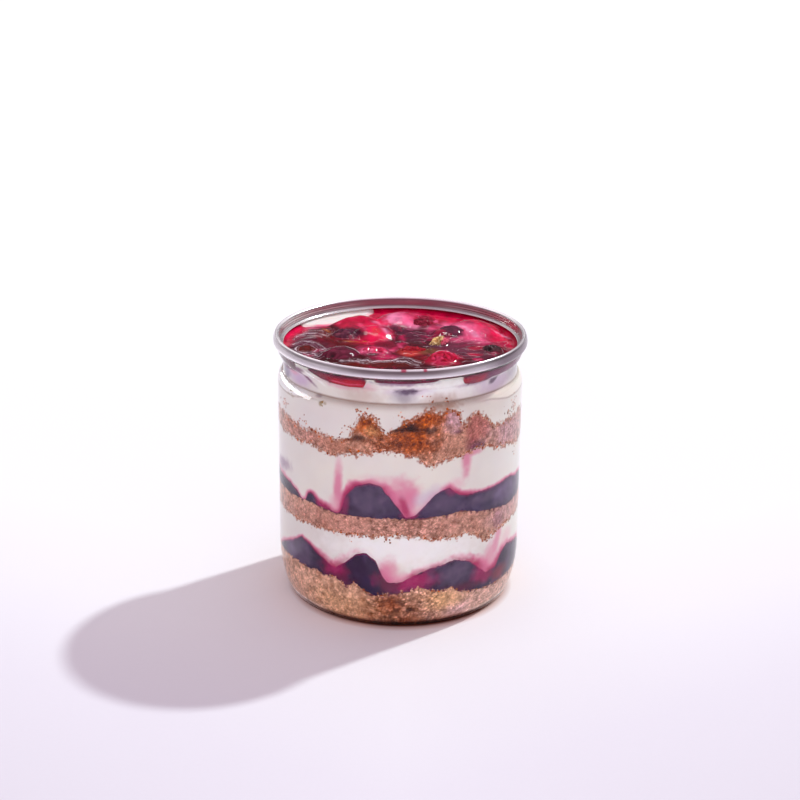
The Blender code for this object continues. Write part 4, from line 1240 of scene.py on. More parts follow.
def topHeight(points):
    x, y = points[..., 0], points[..., 1]
    spots = points * (1, 1, 0)
    rise = 0 * x
    for cx, cy, height, width in topShape["rises"]:
        swell = np.maximum(0, 1 - (np.hypot(x - cx, y - cy) / width) ** 2)
        rise = np.maximum(rise, height * swell * (1 + 0.16 * lumps(spots, 4.0, 13, 2)))
    z = topShape["level"] + np.maximum(rise, fruitMeniscus(x, y))
    calm = smoothStep(*topShape["calm"], np.hypot(x, y))
    waves = topShape["broadWave"] * lumps(spots, 5.0, 11, 2) + topShape["fineWave"] * lumps(spots, 1.7, 12, 2)
    z = z + calm * waves
    ridge = ridgeShare(spots, *shownAt(x, y, z))
    folds = np.clip(1 - np.abs(lumps(spots, 2.6, 16, 2)) * 5, 0, 1)
    busy = smoothStep(-0.1, 0.5, lumps(spots, 7, 17)) * smoothStep(*topShape["foldsTo"], y)
    z = z + calm * (ridgeShape["height"] * ridge + topShape["foldHeight"] * busy * folds ** 2)
    return z + wallRise(np.hypot(x, y))


topPaint = {
    "deep": tone(74, 4, 18), "brown": tone(98, 12, 8), "maroon": tone(108, 8, 18),
    "crimson": tone(206, 2, 60), "red": tone(244, 8, 80), "pink": tone(248, 92, 140),
    "pale": tone(253, 150, 188), "purple": tone(60, 10, 38), "mauve": tone(94, 24, 52),
    "cream": tone(253, 242, 236), "wine": tone(128, 8, 42), "orange": tone(214, 54, 44),
    "gold": tone(200, 112, 48), "rosy": tone(200, 30, 84), "olive": tone(112, 70, 44),
    "dusk": tone(116, 50, 72), "film": tone(250, 232, 240),
}
# How strong the swirls, threads, dark pools and the painted highlights on the ridges are, and between which Y
# (for the first pair of the highlights, which share of a ridge's height) they come in or go
topFades = {
    "swirls": 0.5, "swirlsFrom": (4, 12), "threads": 0.40, "threadsTo": (16, 6), "pools": 0.45,
    "film": 0.9, "paintedGlintFrom": (0.32, 0.95), "paintedGlintTo": (20, 14),
}
# Patches of colour as (x, y, half widths, turn, paint, strength, soft edge)
topPatches = (
    (4, 31, 34, 9, 0, "crimson", 1.0, 0.2), (31, 10, 5.5, 17, 8, "crimson", 1.0, 0.3),
    (-33, 8, 3.6, 12, -12, "crimson", 1.0, 0.3), (-33.2, 12, 1.2, 6, -14, "red", 0.8, 0.6),
    (-21, 4, 10, 10, -10, "maroon", 1.0, 0.4), (-29, 5.5, 3.8, 7, -10, "mauve", 0.85, 0.5),
    (-26, -5, 6.5, 9, 12, "mauve", 0.85, 0.4), (-28.2, -5.3, 2.9, 3.4, 0, "brown", 1.0, 0.15),
    (-6.5, -19.4, 10.5, 3.3, 2, "brown", 1.0, 0.15), (20, -4, 9, 11, 10, "dusk", 0.8, 0.5),
    (23, -2.6, 2.6, 1.6, 10, "crimson", 0.8, 0.6), (22, -9, 2.0, 1.6, 0, "crimson", 0.7, 0.6),
    (23, -13.8, 1.8, 1.4, 0, "rosy", 0.9, 0.5), (29, -4, 4.4, 6.5, 10, "deep", 0.7, 0.5),
    (26, 1.0, 7, 2.0, 8, "rosy", 0.45, 0.7), (-9, 14, 7.2, 13, -8, "crimson", 1.0, 0.3),
    (-7.4, 13, 4.2, 11, -8, "red", 0.9, 0.5), (-17, 23, 4.5, 5.5, 10, "crimson", 1.0, 0.4),
    (-7.6, 13.4, 1.2, 3.0, 0, "orange", 0.7, 0.7), (-7, 7, 3.4, 3.4, 0, "red", 1.0, 0.4),
    (0.6, 25, 6.2, 10, -6, "pink", 1.0, 0.3), (-2.4, 27, 2.8, 6, 0, "pale", 0.8, 0.6),
    (3.6, 19.4, 2.2, 3.4, 20, "pale", 0.55, 0.7), (-1.2, 15.6, 4.8, 5.2, 0, "purple", 0.85, 0.5),
    (5, 9, 5.4, 5.6, 0, "mauve", 0.9, 0.5), (7.6, 26, 3.0, 5.4, 0, "wine", 0.95, 0.35),
    (11, 25, 0.9, 1.6, 0, "pink", 0.9, 0.4), (18.5, 14, 8.6, 10, 10, "pink", 0.85, 0.35),
    (14.4, 12.4, 5.6, 5.2, 0, "mauve", 1.0, 0.3), (14.8, 12, 2.6, 3.6, 0, "purple", 0.6, 0.6),
    (-15.4, 11.4, 4.4, 6.2, 0, "purple", 0.95, 0.35), (-27, 17.6, 3.4, 2.2, 30, "pink", 0.55, 0.6),
    (-4.4, 0.6, 3.4, 3.8, 0, "wine", 0.9, 0.4), (-4.6, -12.4, 3.8, 2.8, 0, "rosy", 0.85, 0.5),
    (-8, -6, 4.6, 3.8, -20, "pink", 0.75, 0.5), (-8.4, -9.4, 1.5, 0.9, 0, "deep", 0.95, 0.4),
    (3, -7, 3.8, 4.4, 10, "orange", 0.75, 0.5), (8.6, -6, 2.8, 3.2, 0, "olive", 0.8, 0.5),
    (6.4, -14, 2.6, 3.8, 0, "maroon", 0.95, 0.4), (13, -14.6, 5.6, 5.4, 20, "crimson", 0.9, 0.4),
    (19, -15.4, 2.4, 2.6, 0, "deep", 0.8, 0.5),
)
# Streaks as (points, half width, paint, strength). The pale streaks are painted highlights.
topStreaks = (
    (((10.6, 17.6), (15, 20.2), (19.4, 19.2), (22.4, 14), (24.4, 8), (25.4, 3.8)), 2.5, "pink", 1.0),
    (((14, 20.0), (18.8, 19.0), (21.8, 14.4), (23.4, 9)), 1.1, "pale", 1.0),
    (((12, 31.6), (21, 26.6), (28, 18), (31.6, 8)), 2.0, "red", 0.8),
    (((28.4, 16.4), (31, 11.6), (33.2, 6.6)), 0.5, "pale", 0.9),
    (((26.2, 19), (28.4, 13), (29.4, 6)), 1.4, "red", 0.7),
    (((-10.4, 33.6), (-7.4, 27), (-4.6, 21)), 1.1, "red", 0.9),
    (((-7.8, 24), (-5.4, 17), (-4.0, 10)), 0.9, "pale", 0.7),
    (((-12.6, 21), (-10.8, 15)), 0.8, "pink", 0.4),
    (((0.6, 9), (1.2, 3), (-1.6, -3), (-4, -8)), 1.3, "rosy", 0.85),
    (((-2.4, 8), (-2.0, 3), (0.6, -2)), 0.5, "pink", 0.6),
    (((-12, -8.6), (-10.6, -4), (-8, -2.4), (-5.4, -5), (-3, -5.4)), 1.0, "pink", 0.95),
    (((-11.4, -7), (-9.6, -3.6), (-7.6, -3.2)), 0.4, "pale", 0.8),
    (((-17.4, 3.4), (-13.8, 2.2), (-10.8, 3.2)), 0.4, "gold", 0.8),
    (((-23.4, 15.8), (-22.4, 13)), 0.6, "gold", 0.7),
    (((-20.0, 17), (-16, 20.4), (-12.6, 17.6)), 0.5, "mauve", 0.8),
    (((2, 33), (12, 32), (22, 27)), 1.0, "red", 0.7),
    (((-4.6, 33.8), (-5.4, 26), (-3.6, 20)), 0.6, "crimson", 0.85),
    (((4.6, 30), (4.8, 24)), 0.9, "crimson", 0.8),
    (((-34.4, 3), (-33, 12), (-30.4, 17.4)), 0.8, "red", 0.8),
    (((-30.4, 18.8), (-25, 19.6), (-20, 21), (-18.4, 27.4), (-12, 27.6)), 0.8, "pink", 0.7),
    (((-4, 12), (-3, 7), (-5, 3)), 0.5, "rosy", 0.8),
    (((9.4, -19), (11.6, -13), (13.2, -8.4)), 0.5, "pink", 0.8),
    (((-27, 4), (-22, -2), (-18, -1)), 0.9, "brown", 0.6),
)


def paintTop(points):
    spots = points * (1, 1, 0)
    x, y = shownAt(points[..., 0], points[..., 1], points[..., 2])
    x = x + 0.9 * lumps(spots, 3.4, 21, 2) + 0.45 * lumps(spots, 1.2, 22)
    y = y + 0.9 * lumps(spots, 3.4, 23, 2) + 0.45 * lumps(spots, 1.2, 24)
    colours = np.broadcast_to(topPaint["deep"], points.shape).copy()
    colours = mottled(colours, spots, 0.6, -0.1, 0.7, 4, 25, 2, topPaint["mauve"])
    for px, py, wide, deep, turn, paint, strength, soft in topPatches:
        patch = smoothStep(1 + soft, 1 - soft, ovalShare(x, y, (px, py), turn, wide, deep))
        colours = mixIn(colours, strength * patch, topPaint[paint])
    for line, half, paint, strength in topStreaks:
        streak = strength * bell(lineDistance(x, y, line), half)
        colours = mottled(colours, spots, streak, -0.5, 0.2, 2.6, 26, 2, topPaint[paint])
    swirls = topFades["swirls"] * smoothStep(*topFades["swirlsFrom"], y)
    colours = mottled(colours, spots * (1, 0.6, 1), swirls, 0.05, 0.55, 3.0, 33, 3, topPaint["crimson"])
    threads = smoothStep(0.30, 0.75, 1 - 4 * np.abs(lumps(spots * (1, 1.6, 1), 3.0, 27, 3)))
    threads = topFades["threads"] * threads * smoothStep(*topFades["threadsTo"], y)
    colours = mottled(colours, spots, threads, 0.0, 0.5, 5, 28, 1, topPaint["rosy"])
    colours = mottled(colours, spots, topFades["pools"], 0.25, 0.7, 2.4, 29, 3, colours * 0.45)
    bare = smoothStep(-0.4, 0.9, patchShare(points[..., 0], points[..., 1]))
    colours = mixIn(colours, bare, topPaint["cream"])
    # Painted highlight: a light line along each ridge and drop, as if its film caught the light
    under = points - ridgeShape["height"] * np.array((0, 0, 0.5))
    ridge = ridgeShare(spots, *shownAt(under[..., 0], under[..., 1], under[..., 2]))
    thin = 0.35 + 0.65 * smoothStep(-0.4, 0.2, lumps(spots, 1.8, 30, 2))
    film = topFades["film"] * thin * smoothStep(*topFades["paintedGlintFrom"], ridge)
    return mixIn(colours, film * smoothStep(*topFades["paintedGlintTo"], points[..., 1]), topPaint["film"])


sidePaint = {
    "plum": tone(66, 4, 44), "crimson": tone(176, 2, 36), "wine": tone(96, 8, 50),
    "purple": tone(104, 46, 92), "pink": tone(226, 90, 130),
}
# Pairs of angles or heights between which a paint comes in or goes
sideBands = {
    "purpleFrom": (31, 48), "purpleTo": (110, 70), "plumFrom": (-28, -46), "plumTo": (-110, -80),
    "wineFrom": (-13, -10), "wineTo": (19, 15), "wineZ": (76.9, 78.0),
    "glintZ": 75.9, "glintWidth": 0.16, "glintFrom": (-34, -31), "glintTo": (-14, -20),
}
# Where cream shows instead of gel, as the middle and half the width in degrees
sideBare = ((-50.5, 4.4), (23.0, 5.9), (-13.2, 1.6), (-143, 23))


def paintTopSide(angle, z, points):
    colours = np.broadcast_to(sidePaint["crimson"], points.shape).copy()
    colours = mottled(colours, points, 0.55, -0.1, 0.6, 4, 31, 2, sidePaint["wine"])
    bands = sideBands
    purple = smoothStep(*bands["purpleFrom"], angle + 4 * lumps(points, 3, 34))
    colours = mixIn(colours, 0.85 * purple * smoothStep(*bands["purpleTo"], angle), sidePaint["purple"])
    plum = smoothStep(*bands["plumFrom"], angle) * smoothStep(*bands["plumTo"], angle)
    colours = mixIn(colours, 0.9 * plum, sidePaint["plum"])
    wine = smoothStep(*bands["wineFrom"], angle) * smoothStep(*bands["wineTo"], angle)
    colours = mixIn(colours, 0.6 * wine, sidePaint["wine"])
    # Painted shade: the gel's side darker towards the top, under the rim's shadow
    high = smoothStep(*bands["wineZ"], z + 0.4 * lumps(points, 3, 35))
    colours = mixIn(colours, 0.8 * high, sidePaint["wine"])
    # A thin painted highlight line
    line = z - bands["glintZ"] - 0.03 * np.abs(angle + 24) + 0.15 * lumps(points, 4, 36)
    glint = smoothStep(*bands["glintFrom"], angle) * smoothStep(*bands["glintTo"], angle)
    colours = mixIn(colours, 0.7 * bell(line, bands["glintWidth"]) * glint, sidePaint["pink"])
    for middle, wide in sideBare:
        away = np.abs(angleBetween(angle, middle)) + 0.8 * lumps(points, 1.5, 32)
        colours = mixIn(colours, smoothStep(wide + 1.2, wide - 0.6, away), creamPaint["base"])
    return colours


def buildTopping():
    low = seams["compoteTopBottom"]
    rimLevel = topHeight(onCircle(neckRadius, angles, 0.0))
    z, side = fineSide(low["wall"], rimLevel, 0.25)
    sideSkin = paintTopSide(np.broadcast_to(signedAngles, z.shape), z, side)
    lowRings = innerCircles(low)
    outerRadius = np.hypot(side[-1][:, 0], side[-1][:, 1])
    surface = []
    for share in np.linspace(1, 0, topShape["rings"])[1:-1] ** 0.9:
        ring = onCircle(outerRadius * share, angles, 0.0)
        sunk = smoothStep(0.2, 0.8, patchShare(ring[:, 0], ring[:, 1]))
        ring[:, 2] = topHeight(ring) - topShape["patchSink"] * sunk
        surface.append(ring)
    rings = lowRings + list(side) + surface
    colours = [sideSkin[0]] * len(lowRings) + list(sideSkin) + [paintTop(ring) for ring in surface]
    piece = ringSolid("gelTopping", rings, finishes["gel"], colours)
    return dress(piece, "compote_gloss", "compote_top")


buildTopping()


# The bare patch that comes up through the gel: a block with a finely shaped top, whose foot lies in the
# layer. Its points are numbered from start.
def patchBlock(shape, start):
    steps, rows = shape["patchSteps"], shape["patchRows"]
    angle = np.linspace(shape["patchStart"] + 0.3, shape["patchEnd"] - 0.3, steps + 1)
    share = np.linspace(0, 1, steps + 1)
    inner = patchInner(share)
    ends = np.minimum(1, np.minimum(share, 1 - share) * 12)
    grid = []
    for part in np.linspace(0, 1, rows + 1):
        radius = inner + (shape["patchWall"] - inner) * part
        spots = onCircle(radius, angle, 0.0)
        lift = shape["patchLift"] * np.minimum(1, part * 6) * ends
        spots[:, 2] = shape["patchLevel"] + lift + 0.16 * lumps(spots, 3.2, 51, 2)
        spots[:, 2] += wallRise(radius)
        grid.append(spots)
    topPoints = np.vstack(grid)
    footInner, footOuter = shape["patchFootRadii"]
    footPoints = np.vstack([onCircle(np.minimum(inner, footInner), angle, shape["patchFoot"]),
                            onCircle(footOuter, angle, shape["patchFoot"])])
    wide = steps + 1
    footStart = start + len(topPoints)
    faces = []
    for row in range(rows):
        for step in range(steps):
            a = start + row * wide + step
            faces.append((a, a + wide, a + wide + 1, a + 1))
    for step in range(steps):
        a, b, c = start + step, start + rows * wide + step, footStart + step
        faces += [(a, a + 1, c + 1, c), (b + 1, b, c + wide, c + wide + 1),
                  (c, c + 1, c + wide + 1, c + wide)]
    for end, flip in ((0, False), (steps, True)):
        loop = [start + row * wide + end for row in range(rows + 1)]
        loop += [footStart + wide + end, footStart + end]
        faces.append(tuple(loop[::-1] if flip else loop))
    skin = np.broadcast_to(topPaint["cream"], topPoints.shape).copy()
    away = np.hypot(topPoints[:, 0], topPoints[:, 1]) - np.tile(inner, rows + 1)
    bleed = 0.4 + smoothStep(-0.1, 0.6, lumps(topPoints, 4.0, 53, 2))
    skin = mixIn(skin, 0.9 * np.clip(1 - away / 2.2, 0, 1) * bleed, topPaint["pink"])
    footSkin = np.broadcast_to(topPaint["cream"], footPoints.shape)
    return np.vstack([topPoints, footPoints]), np.vstack([skin, footSkin]), faces


def buildCreamUpper():
    paint = paintCream("crumbUpperTop", None, upperStains, "crumbUpperTop", 140, grooveShade)
    points, skin, faces = ringParts(*layerRings(seams["crumbUpperTop"], seams["compoteTopBottom"], paint))
    patchPoints, patchSkin, patchFaces = patchBlock(topShape, len(points))
    piece = meshPiece("creamUpper", np.vstack([points, patchPoints]), faces + patchFaces, finishes["cream"],
                      np.vstack([skin, patchSkin]))
    return dress(piece, "cream", "cream_upper")


buildCreamUpper()
print("topping made")

# Berries and torn fruit

fruitKinds = {
    "berry": ("berry", "berry_skin"), "fruit": ("fruit", "red_fruit"), "biscuit": ("crumbFine", "biscuit"),
}


def fruitLook(kind, skin, flush, crease, **more):
    finish, slot = fruitKinds[kind]
    look = {"finish": finish, "slot": slot, "skin": skin, "flush": flush, "crease": crease, "beads": 0.0}
    return {**look, **more}


# Skin, flush and depth of the creases. crown is the way to the open end and its width, edge the way across a
# fold that gets a painted highlight line, tip where another colour starts along X, and beads the height of
# small lumps.
fruitLooks = {
    "berry_front_left": fruitLook("berry", tone(104, 18, 48), tone(140, 40, 70), 0.16,
                                  crown=(-0.30, -0.62, 0.72, 0.24), edge=(0.0, -0.90, 0.44)),
    "berry_left": fruitLook("berry", tone(82, 26, 52), tone(150, 66, 84), 0.50),
    "berry_right": fruitLook("berry", tone(98, 30, 58), tone(136, 48, 78), 0.14),
    "berry_far_right": fruitLook("berry", tone(66, 34, 40), tone(124, 70, 78), 0.34,
                                 crown=(-0.2, -0.5, 0.8, 0.22)),
    "berry_back": fruitLook("berry", tone(138, 12, 46), tone(206, 50, 84), 0.50),
    "berry_middle": fruitLook("berry", tone(92, 18, 48), tone(170, 40, 76), 0.40),
    "berry_far_left": fruitLook("berry", tone(98, 12, 8), tone(112, 16, 14), 0.06),
    "fruit_front": fruitLook("fruit", tone(200, 2, 54), tone(250, 70, 124), 0.55, edge=(-0.18, -0.90, 0.40)),
    "fruit_shred": fruitLook("fruit", tone(222, 44, 92), tone(250, 140, 176), 0.80),
    "fruit_pulp": fruitLook("fruit", tone(180, 16, 44), tone(226, 74, 70), 1.0, beads=0.35),
    "biscuit_piece": fruitLook("biscuit", tone(255, 216, 144), tone(255, 248, 210), 0.60, beads=0.42,
                               tip=(0.30, tone(250, 120, 150))),
}
fruitMesh = {"up": 64, "around": 112, "grow": 0.10, "creaseDepth": 0.8}


def pieceTitle(node):
    first, *others = node.split("_")
    return first + "".join(word.capitalize() for word in others)


def buildFruit(node, number):
    x, y, axes, above, wrinkle, turn = fruitShapes[node]
    look, around = fruitLooks[node], fruitMesh["around"]
    turned = np.radians(np.arange(around) * 360 / around)
    rings = []
    for tip in np.pi * (np.arange(1, fruitMesh["up"])) / fruitMesh["up"]:
        level = np.full(around, -math.cos(tip))
        rings.append(np.stack([math.sin(tip) * np.cos(turned), math.sin(tip) * np.sin(turned), level], -1))
    way = np.array(rings)
    spots = way * 5.0
    uneven = 0.5 * wrinkle * lumps(spots, 2.6, number, 2)
    fold = 1 - np.abs(lumps(spots * (1, 1, 0.4), 2.2, number + 40, 2)) * 2.6
    crease = look["crease"] * np.clip(fold, 0, 1) ** 2
    fine = 0.10 * look["crease"] * lumps(spots, 0.7, number + 50, 2)
    fine = fine + look["beads"] * lumps(spots, 1.1, number + 80)
    size = np.array(axes) + (uneven - crease * fruitMesh["creaseDepth"] + fine + fruitMesh["grow"])[..., None]
    side, ahead = math.sin(math.radians(turn)), math.cos(math.radians(turn))
    spin = np.array(((ahead, side, 0), (-side, ahead, 0), (0, 0, 1)))
    facing = way @ spin
    colours = np.broadcast_to(look["skin"], way.shape).copy()
    colours = mottled(colours, spots, 0.8, -0.2, 0.7, 1.8, number + 60, 3, look["flush"])
    # Painted shade: the skin darker in the folds
    colours = mixIn(colours, 0.75 * np.clip(fold, 0, 1) ** 3, look["skin"] * 0.45)
    if "crown" in look:   # the open end of a blueberry: a ringed dimple
        *middle, wide = look["crown"]
        away = np.linalg.norm(facing - np.array(middle) / np.linalg.norm(middle), axis=-1) / wide
        size = size + (0.22 * bell(away - 1, 0.28) - 0.55 * bell(away, 0.6))[..., None]
        colours = mixIn(colours, 0.9 * bell(away, 0.62), look["skin"] * 0.15)
    if "tip" in look:
        start, paint = look["tip"]
        tip = smoothStep(start, start + 0.12, facing[..., 0] + 0.15 * lumps(spots, 1.0, number))
        colours = mixIn(colours, tip, paint)
    # A painted highlight: a light line along a fold
    if "edge" in look:   # the light line of film along a fold
        line = bell(facing @ np.array(look["edge"]) - 0.16 + 0.05 * lumps(spots, 1.2, number + 90), 0.05)
        line = 0.85 * line * smoothStep(0.2, 0.4, way[..., 2])
        colours = mottled(colours, spots, line, -0.3, 0.2, 0.9, number + 91, 2, topPaint["film"])
    placed = (way * size) @ spin + (x, y, topShape["level"] + above - axes[2])
    piece = ringSolid(pieceTitle(node), list(placed), finishes[look["finish"]], list(colours))
    return dress(piece, look["slot"], node)


for fruitNumber, fruitNode in enumerate(fruitShapes):
    buildFruit(fruitNode, fruitNumber)
print("fruit made")

# Loose crumbs behind the wall, along the edges of the crumb layers and as specks in the cream

# Along an edge: how many and how far they spread; specks: angle, z, spread and how many. frontMix holds the
# shares of the paints high in front, and olive is for the specks at the left of the upper cream.
looseCrumbs = {
    "seed": 7,
    "edges": {
        "crumbMiddleBottom": (800, 0.8), "crumbUpperBottom": (800, 0.7), "crumbUpperTop": (950, 0.9),
        "crumbBaseTop": (500, 0.5),
    },
    "specks": (
        (-60, 68, 1.2, 9), (-38, 68.3, 1.0, 8), (-20, 68.2, 0.8, 6), (28, 67.5, 1.0, 8), (-5, 29, 0.9, 10),
        (-23, 27.5, 0.6, 4), (46, 26, 2.4, 26), (-16, 66.5, 2.6, 36), (-22, 62.5, 1.8, 16),
        (-68, 63, 3.0, 30), (70, 50.5, 3.0, 26), (64, 62, 4.0, 34), (2, 66, 3.0, 16), (14, 71.5, 2.0, 8),
        (22, 71.2, 1.6, 6), (66, 65, 2.5, 14), (-50, 60.5, 3.0, 16), (-27, 61, 2.0, 6),
    ),
    "sizes": (0.14, 0.40), "scales": (0.7, 1.0, 1.0, 1.35), "flat": 0.55, "shapes": 14,
    "heights": (3.0, 76.5), "paints": ("base", "tan", "brown", "orange", "burnt"), "light": (0.8, 1.1),
    "mix": (0.35, 0.2, 0.3, 0.07, 0.08), "frontMix": (0.22, 0.16, 0.36, 0.10, 0.16),
    "olive": tone(164, 132, 78),
}


def grainShape(rng):
    base = np.array([(1, 0, 0), (-1, 0, 0), (0, 1, 0), (0, -1, 0), (0, 0, 1), (0, 0, -1),
                     (0.7, 0.7, 0.2), (-0.7, 0.6, -0.3), (0.6, -0.7, 0.4), (-0.6, -0.7, -0.2)])
    return base * rng.uniform(0.7, 1.15, base.shape)


def hullFaces(points):
    hull = bmesh.new()
    made = [hull.verts.new(p) for p in points]
    bmesh.ops.convex_hull(hull, input=made)
    loose = [corner for corner in hull.verts if not corner.link_faces]
    bmesh.ops.delete(hull, geom=loose, context="VERTS")
    hull.verts.index_update()
    corners = np.array([corner.co[:] for corner in hull.verts])
    faces = [[corner.index for corner in face.verts] for face in hull.faces]
    hull.free()
    return corners, faces


def buildLooseCrumbs(settings):
    rng = np.random.default_rng(settings["seed"])
    shapes = [hullFaces(grainShape(rng)) for _ in range(settings["shapes"])]
    places = []
    for seamName, (count, spread) in settings["edges"].items():
        column = rng.integers(0, columns, count)
        offset = rng.normal(0, spread * 0.55, count)
        for c, o in zip(column, offset):
            places.append((signedAngles[c] + rng.uniform(-0.2, 0.2), seams[seamName]["wall"][c] + o))
    for angle, z, spread, count in settings["specks"]:
        for _ in range(count):
            places.append((angle + rng.normal(0, spread * 0.8), z + rng.normal(0, spread * 0.45)))
    points, faces, colours = [], [], []
    paints = [crumbPaint[name] for name in settings["paints"]]
    lowest, highest = settings["heights"]
    for angle, z in places:
        z = min(max(z, lowest), highest)
        shape, skin = shapes[rng.integers(len(shapes))]
        size = rng.uniform(*settings["sizes"]) * rng.choice(settings["scales"])
        spun = Matrix.Rotation(rng.uniform(0, 6.28), 3, Vector(rng.normal(0, 1, 3)).normalized())
        out = onCircle(1.0, angle, 0.0)
        place = onCircle(foodRadius(np.array(z)), angle, z)
        start = len(points)
        for p in shape * size:
            p = np.array(spun @ Vector(p))
            p = p - settings["flat"] * (p @ out) * out
            points.append(tuple(p + place))
        faces += [[start + k for k in face] for face in skin]
        inFront = abs(angleBetween(angle, 5)) < 26 and z > 59
        mix = settings["frontMix"] if inFront else settings["mix"]
        paint = paints[rng.choice(len(paints), p=mix)] * rng.uniform(*settings["light"])
        if z > 66.5 and -80 < angle < -30:
            paint = settings["olive"] * rng.uniform(*settings["light"])
        colours += [paint] * len(shape)
    piece = meshPiece("looseCrumbs", np.array(points), faces, finishes["crumbFine"], np.array(colours), 30)
    return dress(piece, "crumb")


buildLooseCrumbs(looseCrumbs)
print("loose crumbs made")

# Floor, light and camera

# The paper's painted shading, lighter behind the cup and darker in front of it and at its sides, where less
# light falls.
# Its places are in metres: Y less a part of the distance along X.
floorLook = {
    "size": 6.0, "sideways": -0.6,
    "shades": (
        (-0.22, tone(226, 221, 230)), (-0.13, tone(236, 232, 240)), (-0.07, tone(246, 244, 248)),
        (-0.015, tone(251, 250, 252)),
    ),
    # A painted contact shadow on the paper round the jar's foot, darkest at the foot
    "contactMiddle": (0.0006, -0.0024, 0.0), "contactReach": (0.0305, 0.0352),
    "paintedContactShadow": (
        (0.0, tone(40, 14, 10)), (0.24, tone(112, 62, 48)), (0.5, tone(224, 200, 192)), (1.0, grey(1.0)),
    ),
}


def buildFloor(look):
    material, nodes, links, shader = newMaterial("paperFloor", {"Roughness": 0.85, "Specular IOR Level": 0.1})
    where = nodes.new("ShaderNodeTexCoord").outputs["Object"]
    grain = textureNode(nodes, links, "Noise", 900, 3.0)
    split = nodes.new("ShaderNodeSeparateXYZ")
    links.new(where, split.inputs[0])
    sideways, along = nodes.new("ShaderNodeMath"), nodes.new("ShaderNodeMath")
    sideways.operation = "ABSOLUTE"
    links.new(split.outputs["X"], sideways.inputs[0])
    along.operation = "MULTIPLY_ADD"
    along.inputs[1].default_value = look["sideways"]
    links.new(sideways.outputs[0], along.inputs[0])
    links.new(split.outputs["Y"], along.inputs[2])
    first, last = look["shades"][0][0], look["shades"][-1][0]
    share = mapped(nodes, links, along.outputs[0], 0, 1, first, last)
    stops = [((place - first) / (last - first), paint) for place, paint in look["shades"]]
    shade = ramp(nodes, links, share, stops)
    fibre = ramp(nodes, links, grain.outputs["Fac"], [(0.3, grey(0.992)), (0.7, grey(1.0))])
    # The painted contact shadow round the jar's foot
    contact = nodes.new("ShaderNodeVectorMath")
    contact.operation = "DISTANCE"
    contact.inputs[1].default_value = look["contactMiddle"]
    links.new(where, contact.inputs[0])
    near = mapped(nodes, links, contact.outputs["Value"], 0, 1, *look["contactReach"])
    paper = blended(nodes, links, "MULTIPLY", shade, ramp(nodes, links, near, look["paintedContactShadow"]))
    links.new(blended(nodes, links, "MULTIPLY", paper, fibre), shader.inputs["Base Color"])
    half = look["size"] / 2
    mesh = bpy.data.meshes.new("floor")
    corners = [(-half, -half, 0), (half, -half, 0), (half, half, 0), (-half, half, 0)]
    mesh.from_pydata(corners, [], [(0, 1, 2, 3)])
    mesh.materials.append(material)
    floor = bpy.data.objects.new("floor", mesh)
    bpy.context.scene.collection.objects.link(floor)


buildFloor(floorLook)

# Directions are azimuth from +X towards +Y and height, in degrees; places are in metres. The strips light
# only the wet gel, the crest lamp only the rim and the side lamp only the jar. Each of these holds azimuth,
# height, the lamp's width and height, power and the height in metres that it is aimed at.
lightLook = {
    "keyAzimuth": 39.0, "keyHeight": 47.0, "keyStrength": 1.9, "keyColour": (0.90, 1.0, 1.0), "keyAngle": 2.6,
    "horizon": (0.92, 0.90, 0.93), "skyLow": (0.13, 0.115, 0.13), "skyFront": (0.50, 0.445, 0.485),
    "skyHigh": (0.82, 0.705, 0.80), "skyStrength": 1.0, "skyHeights": (0.04, 0.13, 0.48, 0.80),
    "skyTurn": (0.1, -0.5),
    "fillPower": 1.7, "fillPlace": (-0.16, -1.0, 0.13), "fillAim": (0, 0, 0.04), "fillSize": 0.30,
    "fillColour": (1.0, 0.88, 0.92),
    "backdropPower": 2.6, "backdropPlace": (0.0, 1.1, 0.9), "backdropAim": (0, 1.1, 0),
    "backdropSize": 1.3, "backdropColour": (1.0, 1.0, 1.0),
    "strips": ((80, 68, 0.40, 0.025, 1.2, 0.078), (130, 62, 0.20, 0.025, 0.6, 0.078),
               (30, 62, 0.20, 0.025, 0.6, 0.078)),
    "crest": (90, 46, 1.9, 1.0, 5.0, 0.08), "side": (150, 11, 1.2, 0.34, 13.0, 0.08),
}


def aimed(name, data, place, target):
    lamp = bpy.data.objects.new(name, data)
    lamp.location = place
    lamp.rotation_euler = (Vector(target) - Vector(place)).to_track_quat("-Z", "Y").to_euler()
    lamp.visible_camera = False
    bpy.context.scene.collection.objects.link(lamp)
    return lamp


def direction(azimuth, height):
    azimuth, height = math.radians(azimuth), math.radians(height)
    level = math.cos(height)
    return Vector((math.cos(azimuth) * level, math.sin(azimuth) * level, math.sin(height)))


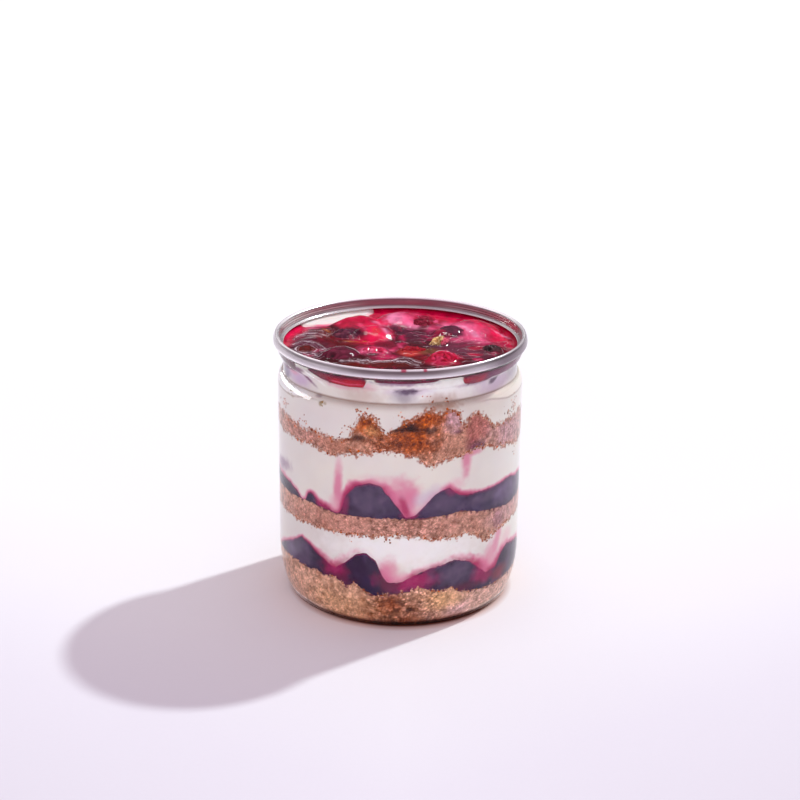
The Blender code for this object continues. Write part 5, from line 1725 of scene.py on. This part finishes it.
def buildLight(look):
    world = bpy.data.worlds.new("studio")
    bpy.context.scene.world = world
    world.use_nodes = True
    nodes, links = world.node_tree.nodes, world.node_tree.links
    sphere = nodes["Background"]
    where = nodes.new("ShaderNodeTexCoord").outputs["Generated"]
    split = nodes.new("ShaderNodeSeparateXYZ")
    links.new(where, split.inputs[0])
    skies = []
    for low in ("skyLow", "skyFront"):
        shades = (look["horizon"], look[low], look[low], look["skyHigh"])
        skies.append(ramp(nodes, links, split.outputs["Z"], list(zip(look["skyHeights"], shades))))
    turned = mapped(nodes, links, split.outputs["Y"], 0.0, 1.0, *look["skyTurn"])
    links.new(blended(nodes, links, "MIX", *skies, turned), sphere.inputs["Color"])
    sphere.inputs["Strength"].default_value = look["skyStrength"]
    sun = bpy.data.lights.new("key", "SUN")
    sun.energy = look["keyStrength"]
    sun.color = look["keyColour"]
    sun.angle = math.radians(look["keyAngle"])
    aimed("key", sun, direction(look["keyAzimuth"], look["keyHeight"]), (0, 0, 0))
    for name in ("fill", "backdrop"):
        data = bpy.data.lights.new(name, "AREA")
        data.energy = look[name + "Power"]
        data.size = look[name + "Size"]
        data.color = look[name + "Colour"]
        aimed(name, data, look[name + "Place"], look[name + "Aim"]).visible_glossy = False
    wetPieces = [piece for piece in bpy.data.objects
                 if piece.type == "MESH" and piece.data.materials and piece.data.materials[0] in wetFinishes]
    panels = [("strip", wetPieces, *strip) for strip in look["strips"]]
    panels += [("crest", [bpy.data.objects["rimRing"]], *look["crest"])]
    panels += [("side", [bpy.data.objects["jarWall"]], *look["side"])]
    for name, pieces, azimuth, height, wide, tall, power, aim in panels:
        only = bpy.data.collections.new(name + "Only")
        for piece in pieces:
            only.objects.link(piece)
        data = bpy.data.lights.new(name, "AREA")
        data.shape = "RECTANGLE"
        data.size = wide
        data.size_y = tall
        data.energy = power
        lamp = aimed(name, data, direction(azimuth, height), (0, 0, aim))
        lamp.visible_diffuse = False
        lamp.light_linking.receiver_collection = only


buildLight(lightLook)

cameraLook = {
    "reference": 38.4, "height": 19.3, "away": 14.0, "pixels": 125.55, "photoWide": 800, "sensor": 36.0,
    "roll": 0.52, "aimX": 0.001, "aimZ": 1.551,
}


def buildCamera(look):
    data = bpy.data.cameras.new("camera")
    data.sensor_width = look["sensor"]
    data.lens = look["pixels"] * look["away"] * look["sensor"] / look["photoWide"]
    data.clip_start = 0.01
    camera = bpy.data.objects.new("camera", data)
    unit = look["reference"] * mm
    height = math.radians(look["height"])
    aim = Vector((look["aimX"], 0, look["aimZ"])) * unit
    eye = Vector((0, -math.cos(height), math.sin(height))) * look["away"] * unit
    turn = (-eye).to_track_quat("-Z", "Y").to_matrix() @ Matrix.Rotation(math.radians(look["roll"]), 3, "Z")
    camera.matrix_world = Matrix.Translation(aim + eye) @ turn.to_4x4()
    bpy.context.scene.collection.objects.link(camera)
    bpy.context.scene.camera = camera


buildCamera(cameraLook)
bpy.context.scene.view_settings.view_transform = "Standard"
print("floor, light and camera made")
